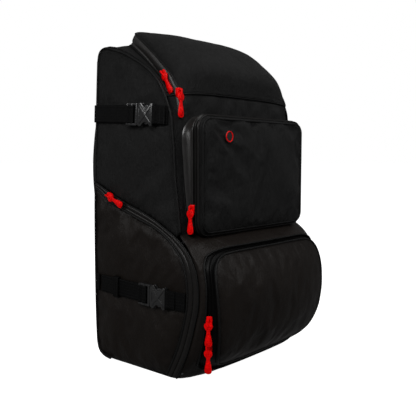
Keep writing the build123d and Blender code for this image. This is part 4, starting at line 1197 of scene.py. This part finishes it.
# ------------------------------------------------------------------ harness on the back
def cad_copy(node, name, finish):
    """Object with a copy of a CAD node's mesh in a new finish."""
    source = frame["nodes"][node]
    mesh = source.data.copy()
    mesh.materials.clear()
    mesh.materials.append(finish)
    obj = bpy.data.objects.new(name, mesh)
    bpy.context.scene.collection.objects.link(obj)
    return source, obj, mesh


def from_cad(node, name, finish, voxel=5.0, pressure=0.0, cap=4.0, smooth=3):
    """Soft copy of a CAD solid: remeshed evenly, eased, and swollen as a stuffed piece."""
    source, obj, mesh = cad_copy(node, name, finish)
    mesh.name = name
    remesh = obj.modifiers.new("remesh", "REMESH")
    remesh.mode = "VOXEL"
    remesh.voxel_size = voxel * MM
    ease = obj.modifiers.new("ease", "SMOOTH")
    ease.iterations = smooth
    ease.factor = 0.5
    graph = bpy.context.evaluated_depsgraph_get()
    obj.data = bpy.data.meshes.new_from_object(obj.evaluated_get(graph))
    obj.modifiers.clear()
    obj.data.shade_smooth()
    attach(obj, source["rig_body"])
    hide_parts(node)
    if pressure:
        CLOTH.append((obj, np.zeros(len(obj.data.vertices), bool), pressure, 0.0, cap))
    return obj


pads = from_cad("back_pads", "back_pad_foam", MESH, 5.0, 3.0, 3.0, smooth=4)
straps = [from_cad(f"shoulder_strap_{side}", f"shoulder_strap_foam_{side}", MESH, 4.5, 2.5, 2.5,
    smooth=4) for side, _ in SIDES]
from_cad("divider_shelf", "divider_shelf_pad", LINING, 4.0, smooth=2)
from_cad("padded_dividers", "padded_divider_set", LINING, 4.0, smooth=2)

SPINE = [(105, 500), (132, 492), (160, 450), (168, 370), (160, 290), (142, 226)]
LINE = [(512, 78), (400, 90), (300, 97), (214, 94)]
strap_line = spline(SPINE, 80)
for side, sign in SIDES:
    centre = np.column_stack([sign * lookup(LINE, strap_line[:, 1]), strap_line])
    way = tangents(centre)
    outward = unit(np.cross((1, 0, 0), way) * -1)
    outward[outward[:, 1] < 0] *= -1
    body_part = slice(12, 76)
    strap(f"shoulder_webbing_{side}", centre[body_part] + outward[body_part] * 7.2, outward[body_part], 25,
        PACK, WEBBING, 1.8)
    for edge_side in (-1, 1):
        rail = centre[8:77] + np.array((edge_side * 30.0, 0, 0))
        tube(f"shoulder_binding_{side}_{'in' if edge_side * sign < 0 else 'out'}", rail, 3.4, PACK, PIPING,
            squeeze=1.7)
    lock = axes((sign * 95, 143.5, 208), (0, 0, -1), (0, 1, 0))
    plates(f"ladder_lock_{side}", [
        (rounded(4, 34, 1.6, (-11, 0)), -4.5, 0.5, 1.2), (rounded(4, 34, 1.6, (0, 0)), -4.5, 0.5, 1.2),
        (rounded(4, 34, 1.6, (11, 0)), -4.5, 0.5, 1.2), (rounded(26, 4, 1.6, (0, 15.4)), -4.5, 0.3, 1.2),
        (rounded(26, 4, 1.6, (0, -15.4)), -4.5, 0.3, 1.2), (rounded(7, 16, 2.5, (14, 0)), -3.0, 0.4, 0.8),
    ], lock, PACK, ACETAL, ("ladder_locks",))
    drop = spline([(sign * 94, 144, 226), (sign * 95, 141, 205), (sign * 98, 143.5, 190),
        (sign * 108, 140, 150),
            (sign * 124, 131, 100), (sign * 138, 125, 72), (sign * 146, 119, 60)], 70)
    strap(f"strap_tail_{side}", drop, (sign * 0.15, 1, 0.1), 24, PACK, WEBBING, 1.8, ("strap_tails",))
    loose = spline([(sign * 95, 146, 216), (sign * 92, 150, 196), (sign * 88, 150, 168),
        (sign * 86, 145, 140), (sign * 85, 143, 122)], 40)
    strap(f"strap_spare_end_{side}", loose, (0, 1, 0.05), 24, PACK, WEBBING, 1.8)

handle_path = spline([(-40, 121.5, 521), (-40, 122, 508), (-38, 121, 492), (-26, 119.5, 481), (0, 119, 478.5),
    (26, 119.5, 481),
        (38, 121, 492), (40, 122, 508), (40, 121.5, 521)], 90)
strap("grab_handle_web", handle_path, (0, 1, 0), 20, "carry_handle", WEBBING, 2.6, ("grab_handle",))
tube("grab_handle_roll", spline([(-24, 118.5, 482), (0, 118.2, 478.5), (24, 118.5, 482)], 30), 6.0,
    "carry_handle", COATED, sides=14, squeeze=0.62)
yoke = rounded(128, 26, 8, (0, 524))
panel("handle_yoke", even(yoke, 4, closed=True), lambda u, v, h: np.stack([u,
    lookup(back_table, np.clip(v, 2, 528)) + 2.6 + h, v], 1),
      PACK, COATED, puff=2.2, reach=8, rough=0.2, flip=True)

for sign, label in ((-1, "socket"), (1, "plug")):
    chest = spline([(sign * 56, 165.5, 402), (sign * 44, 167.5, 400), (sign * 30, 166.5, 400),
        (sign * 15, 166, 400)], 30)
    strap(f"sternum_web_{label}", chest, (0, 1, 0), 20, PACK, WEBBING, 1.7, ("sternum_straps",))
chest = axes((0, 161.5, 400), (1, 0, 0), (0, 1, 0))
small = [(x * 0.74 + 3, y * 0.72) for x, y in SOCKET]
plates("sternum_buckle_socket", [(small, 1.0, 3.0, 0.6), (small, 6.4, 8.6, 0.8),
    (rounded(4, 26, 1.2, (-19.8, 0)), 1.2, 8.4, 0.7)],
       chest, PACK, ACETAL, ("sternum_socket",))
plates("sternum_buckle_plug", [(rounded(3.6, 26, 1.3, (x, 0)), 2.2, 7.6, 0.9) for x in (6.0, 13.0, 20.5)]
       + [(rounded(17, 3, 1.2, (13.4, way * 12)), 2.4, 7.4, 0.8) for way in (-1, 1)]
       + [([(x * 0.6 + 5, y * 0.72 * way) for x, y in PRONG][::way], 3.4, 6.0, 0.5) for way in (-1, 1)],
       chest, "sternum_plug_body", ACETAL, ("sternum_plug",))

# ------------------------------------------------------------------ base and lining
def finished_copy(node, name, finish, rounding):
    """Copy of a thin CAD piece with turned edges and its own cloth."""
    source, obj, mesh = cad_copy(node, name, finish)
    shape = bmesh.new()
    shape.from_mesh(mesh)
    bmesh.ops.remove_doubles(shape, verts=shape.verts, dist=0.00001)
    bmesh.ops.dissolve_limit(shape, angle_limit=0.02, verts=shape.verts, edges=shape.edges)
    shape.to_mesh(mesh)
    shape.free()
    bevel = obj.modifiers.new("turned_edges", "BEVEL")
    bevel.width = rounding * MM
    bevel.segments = 2
    bevel.limit_method = "ANGLE"
    mesh.shade_smooth()
    split = obj.modifiers.new("creases", "EDGE_SPLIT")
    split.split_angle = 0.8
    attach(obj, source["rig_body"])
    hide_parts(node)
    return obj


def base_ring(inset, z):
    flat = rounded(2 * (HALF - 3 - inset), 2 * (100 - inset), 26 - inset * 0.5, (0, 14), 10)
    return np.column_stack([flat, np.full(len(flat), z)])


base_rings = [base_ring(inset, z) for inset, z in ((40, 0.4), (16, 0.3), (9, 0.9), (5, 2.4), (2.6, 5),
    (1.4, 9), (1.2, 15))]
ring_size = len(base_rings[0])
base_verts = np.vstack(base_rings)
base_faces = grid_faces(len(base_rings), ring_size, closed_cols=True) + [tuple(range(ring_size))[::-1]]
base = finish_mesh("base_boot", base_verts, base_faces, BASE, PACK, base_verts[:, :2], None, ("base_tray",))
repair_normals(base)
thicken(base, 2.0)
for side, _ in SIDES:
    finished_copy(f"side_pocket_tray_{side}", f"side_pocket_lining_{side}", LINING, 0.8)

settle_cloth()
for piece, fixed, moving, start, end in CROSSING:
    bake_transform(piece)

# ------------------------------------------------------------------ floor, light and camera
def studio():
    bpy.ops.mesh.primitive_plane_add(size=60, location=(0, 0, -0.0006))
    floor = bpy.context.object
    floor.name = "floor"
    paper = bpy.data.materials.new("floor_paper")
    paper.use_nodes = True
    look = paper.node_tree.nodes["Principled BSDF"].inputs
    look["Base Color"].default_value = (0.92, 0.92, 0.92, 1)
    look["Roughness"].default_value = 0.9
    look["Emission Color"].default_value = (1, 1, 1, 1)
    look["Emission Strength"].default_value = 1.0
    floor.data.materials.append(paper)
    floor.visible_diffuse = floor.visible_glossy = False
    world = bpy.data.worlds.new("studio")
    bpy.context.scene.world = world
    world.use_nodes = True
    tree = world.node_tree
    room = tree.nodes["Background"]
    room.inputs["Color"].default_value = (1, 1, 1, 1)
    room.inputs["Strength"].default_value = 0.13
    backdrop = tree.nodes.new("ShaderNodeBackground")
    backdrop.inputs["Color"].default_value = (1, 1, 1, 1)
    seen = tree.nodes.new("ShaderNodeLightPath")
    mix = tree.nodes.new("ShaderNodeMixShader")
    tree.links.new(seen.outputs["Is Camera Ray"], mix.inputs[0])
    tree.links.new(room.outputs[0], mix.inputs[1])
    tree.links.new(backdrop.outputs[0], mix.inputs[2])
    tree.links.new(mix.outputs[0], tree.nodes["World Output"].inputs["Surface"])
    bpy.context.scene.view_settings.view_transform = "Standard"
    for name, place, aim, size, power in (
        ("key", (-2.2, -1.1, 2.2), (0, 0, 0.35), 1.0, 52),
        ("front_fill", (0.9, -2.4, 1.7), (0, 0, 0.4), 1.4, 17),
        ("side_strip", (-2.2, 1.1, 1.2), (-0.1, 0, 0.4), 0.8, 13),
        ("top", (0.1, -0.75, 1.45), (0, -0.05, 0.5), 0.6, 4.5),
    ):
        lamp = bpy.data.lights.new(name, "AREA")
        lamp.size, lamp.energy = size, power
        lamp_object = bpy.data.objects.new(name, lamp)
        lamp_object.location = place
        lamp_object.rotation_euler = (Vector(aim) - Vector(place)).to_track_quat("-Z", "Y").to_euler()
        bpy.context.scene.collection.objects.link(lamp_object)
    camera = bpy.data.cameras.new("photo_view")
    camera.lens = 52.46
    camera.sensor_width = 36
    camera_object = bpy.data.objects.new("photo_view", camera)
    camera_object.location = (-0.8528, -0.7365, 0.3629)
    turn, tip = math.radians(49.39), math.radians(-4.787)
    forward = Vector((math.sin(turn) * math.cos(tip), math.cos(turn) * math.cos(tip), math.sin(tip)))
    camera_object.rotation_euler = forward.to_track_quat("-Z", "Y").to_euler()
    bpy.context.scene.collection.objects.link(camera_object)
    bpy.context.scene.camera = camera_object


studio()
